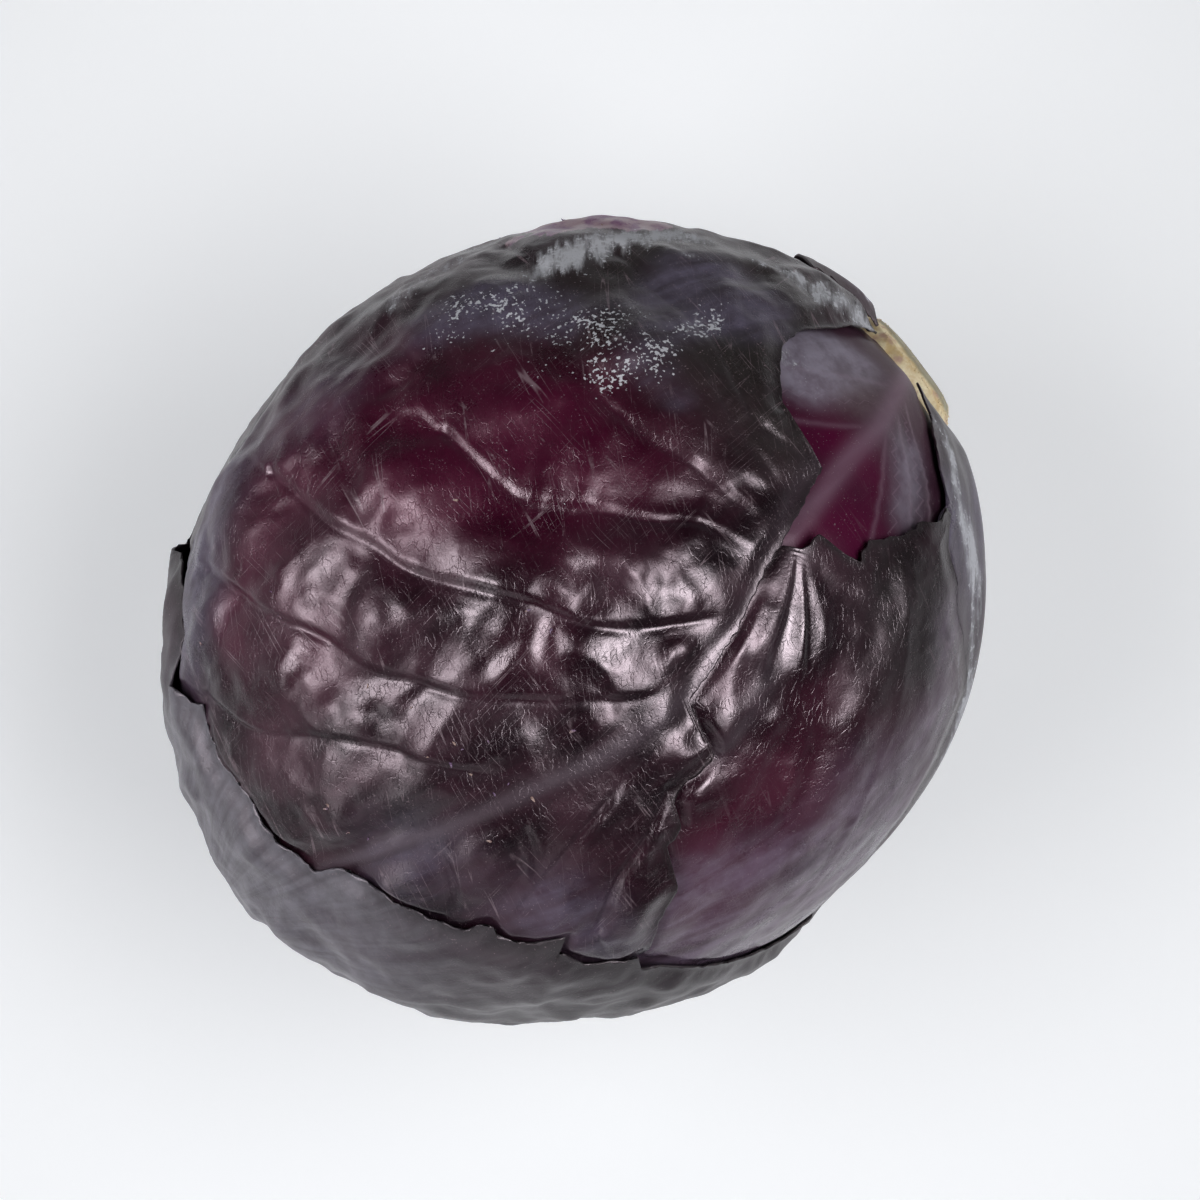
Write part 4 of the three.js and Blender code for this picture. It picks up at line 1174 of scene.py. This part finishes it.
def makeFibreTree():  # frayed threads standing on the cut face
    tree, given, result = newTree("stalkFibres", {
        "Density": 600000.0, "Length": 0.6, "Thickness": 0.08, "Lean": 1.5, "Seed": 7,
    })
    thread = wire(tree, "GeometryNodeMeshCone", {
        "Vertices": 5, "Side Segments": 3, "Radius Top": 0.02 * mm, "Radius Bottom": given["Thickness"] * mm,
        "Depth": given["Length"] * mm,
    })
    share = named(tree, "faceShare")
    ring = ramp(share, 0.6, 0.85) * ramp(share, 1.0, 1.02, 1.0, 0.0)
    lean, back = given["Lean"], given["Lean"] * -1.0
    spins = (combined(tree, {0: back, 1: back}), combined(tree, {0: lean, 1: lean, 2: 6.28}))
    scatterBits(given, result, thread, "thread", ring, spins, (0.4, 1.1))
    return tree


def makeStalkMaterial(plan):
    material, shader, place = newMaterial("driedStalk")
    share = attribute(place.tree, "faceShare")
    fibres = noiseAt(turned(place, 0, (420, 330, 300)), 1.0, 4, 0.65)
    blotch = noiseAt(place, 240, 3)
    colour = mixColour(ramp(fibres, 0.3, 0.7), plan["fibreDark"], plan["fibrePale"])
    colour = mixColour(ramp(blotch, 0.55, 0.7), colour, plan["blotch"])
    # the darker grey-green middle of the face: partly the cut's own colour, partly painted shade
    face = ramp(share + blotch * 0.12, 0.86, 0.95, 1.0, 0.0)
    colour = mixColour(face * 0.7, colour, plan["middle"])
    colour = mixColour(ramp(share, 1.085, 1.12), colour, plan["side"])
    setInputs(shader, {"Base Color": colour, "Roughness": ramp(fibres, 0.2, 0.8, 0.6, 0.85),
                       "Normal": bumped(fibres, 0.6, 0.6 * mm)})
    return material


cutStalk = makeStalk(stalkPlan)
cutStalk.data.materials.append(makeStalkMaterial(stalkPlan))
threadTones = ((0.42, 0.28, 0.12, 1), (0.74, 0.60, 0.36, 1))
threadMaterial = makePlainMaterial("driedThread", 500, (0.4, 0.6), *threadTones, 0.75)
applyTree(cutStalk, makeFibreTree(), {"Material": threadMaterial})
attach(cutStalk, "root")
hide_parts("stalk")
print("stalk done")

# floor, lights and camera
studio = {
    "floor": (0.80, 0.81, 0.83, 1),
    # painted shade: the floor's colour darkens away from the middle
    "floorFarShade": (0.32, 0.33, 0.34, 1),
    "floorFade": (0.13, 0.42),
    "floorPatch": (0.82, 0.83, 0.85, 1),
    "floorGlow": (0.31, 0.02),  # painted light: the floor glows as a table lit from below would, strongly near the middle and faintly far off
    "air": (0.88, 0.90, 0.94, 1),
    "airStrength": (0.15, 0.01),  # at the horizon and overhead
    "viewTurn": 36.5,
    "viewTilt": 6.0,
    "viewDistance": 0.9,
    "lens": 135.8,
    "aim": (4.77, 3.98),
    "lights": [  # bearing round the view (0 right, 90 top), lift, distance, size, power and what it gives
        ("leftBox", 190, 45, 1.5, (1.2, 1.15), 10.5, "fill"),
        ("leftSheen", 175, 35, 1.45, (0.85, 0.8), 15.0, "sheen"),
        ("leftCore", 178, 41, 1.4, (0.4, 0.4), 10.0, "sheen"),
        ("leftLow", 204, 18, 1.4, (0.7, 0.4), 3.2, "both"),
        ("lowBox", 242, 13, 1.3, (1.8, 0.5), 3.4, "sheen"),
        ("rightBox", -10, 51, 1.5, (1.4, 1.3), 14.0, "fill"),
        ("rightSheen", -22, 57, 1.4, (1.1, 1.0), 34.0, "sheen"),
        ("rightCore", -18, 54, 1.45, (0.45, 0.45), 18.0, "sheen"),
    ],
}
turn = math.radians(studio["viewTurn"])
right = Vector((math.cos(turn), -math.sin(turn), 0))
top = Vector((math.sin(turn), math.cos(turn), 0))
tilt = math.radians(studio["viewTilt"])
back = Vector((0, 0, math.cos(tilt))) - top * math.sin(tilt)
up = back.cross(right)
centre = Vector(headCentre)

floorMesh = bpy.data.meshes.new("studioFloor")
floorMesh.from_pydata([(-6, -6, 0), (6, -6, 0), (6, 6, 0), (-6, 6, 0)], [], [(0, 1, 2, 3)])
studioFloor = bpy.data.objects.new("studioFloor", floorMesh)
scene.collection.objects.link(studioFloor)
floorMaterial, floorShader, floorPlace = newMaterial("palePaper")
paper = mixColour(noiseAt(floorPlace, 8, 3), studio["floor"], studio["floorPatch"])
fromMiddle = wire(floorPlace.tree, "ShaderNodeVectorMath", {0: floorPlace}, "Value", operation="LENGTH")
# painted light and shade: the floor's colour darkens and its glow fades away from the middle
farness = ramp(fromMiddle, *studio["floorFade"])
setInputs(floorShader, {
    "Base Color": mixColour(farness, paper, studio["floorFarShade"]), "Roughness": 0.8,
    "Emission Color": studio["air"], "Emission Strength": ramp(farness, 0.0, 1.0, *studio["floorGlow"]),
})
floorMesh.materials.append(floorMaterial)

world = bpy.data.worlds.new("studioAir")
scene.world = world
world.use_nodes = True
airTree = world.node_tree
way = wire(airTree, "ShaderNodeSeparateXYZ", {0: wire(airTree, "ShaderNodeTexCoord", output="Generated")}, 2)
setInputs(airTree.nodes["Background"], {0: studio["air"], 1: ramp(way, 0.05, 0.45, *studio["airStrength"])})

for name, bearing, lift, distance, size, power, gives in studio["lights"]:
    bearing, lift = math.radians(bearing), math.radians(lift)
    level = right * math.cos(bearing) + top * math.sin(bearing)
    aimAway = level * math.cos(lift) + Vector((0, 0, math.sin(lift)))
    lamp = bpy.data.lights.new(name, "AREA")
    lamp.shape = "RECTANGLE"
    lamp.size, lamp.size_y = size
    lamp.energy = power
    lampObject = bpy.data.objects.new(name, lamp)
    lampObject.location = centre + aimAway * distance
    lampObject.rotation_euler = aimAway.to_track_quat("Z", "Y").to_euler()
    lampObject.visible_diffuse = gives != "sheen"
    lampObject.visible_glossy = gives != "fill"
    scene.collection.objects.link(lampObject)

camera = bpy.data.cameras.new("camera")
camera.lens = studio["lens"]
camera.sensor_width = 36
camera.clip_start = 0.05
cameraObject = bpy.data.objects.new("camera", camera)
eye = centre + (right * studio["aim"][0] + up * studio["aim"][1]) * mm + back * studio["viewDistance"]
cameraObject.matrix_world = Matrix.Translation(eye) @ Matrix((right, up, back)).transposed().to_4x4()
scene.collection.objects.link(cameraObject)
scene.camera = cameraObject
scene.view_settings.view_transform = "Standard"
print("studio done")
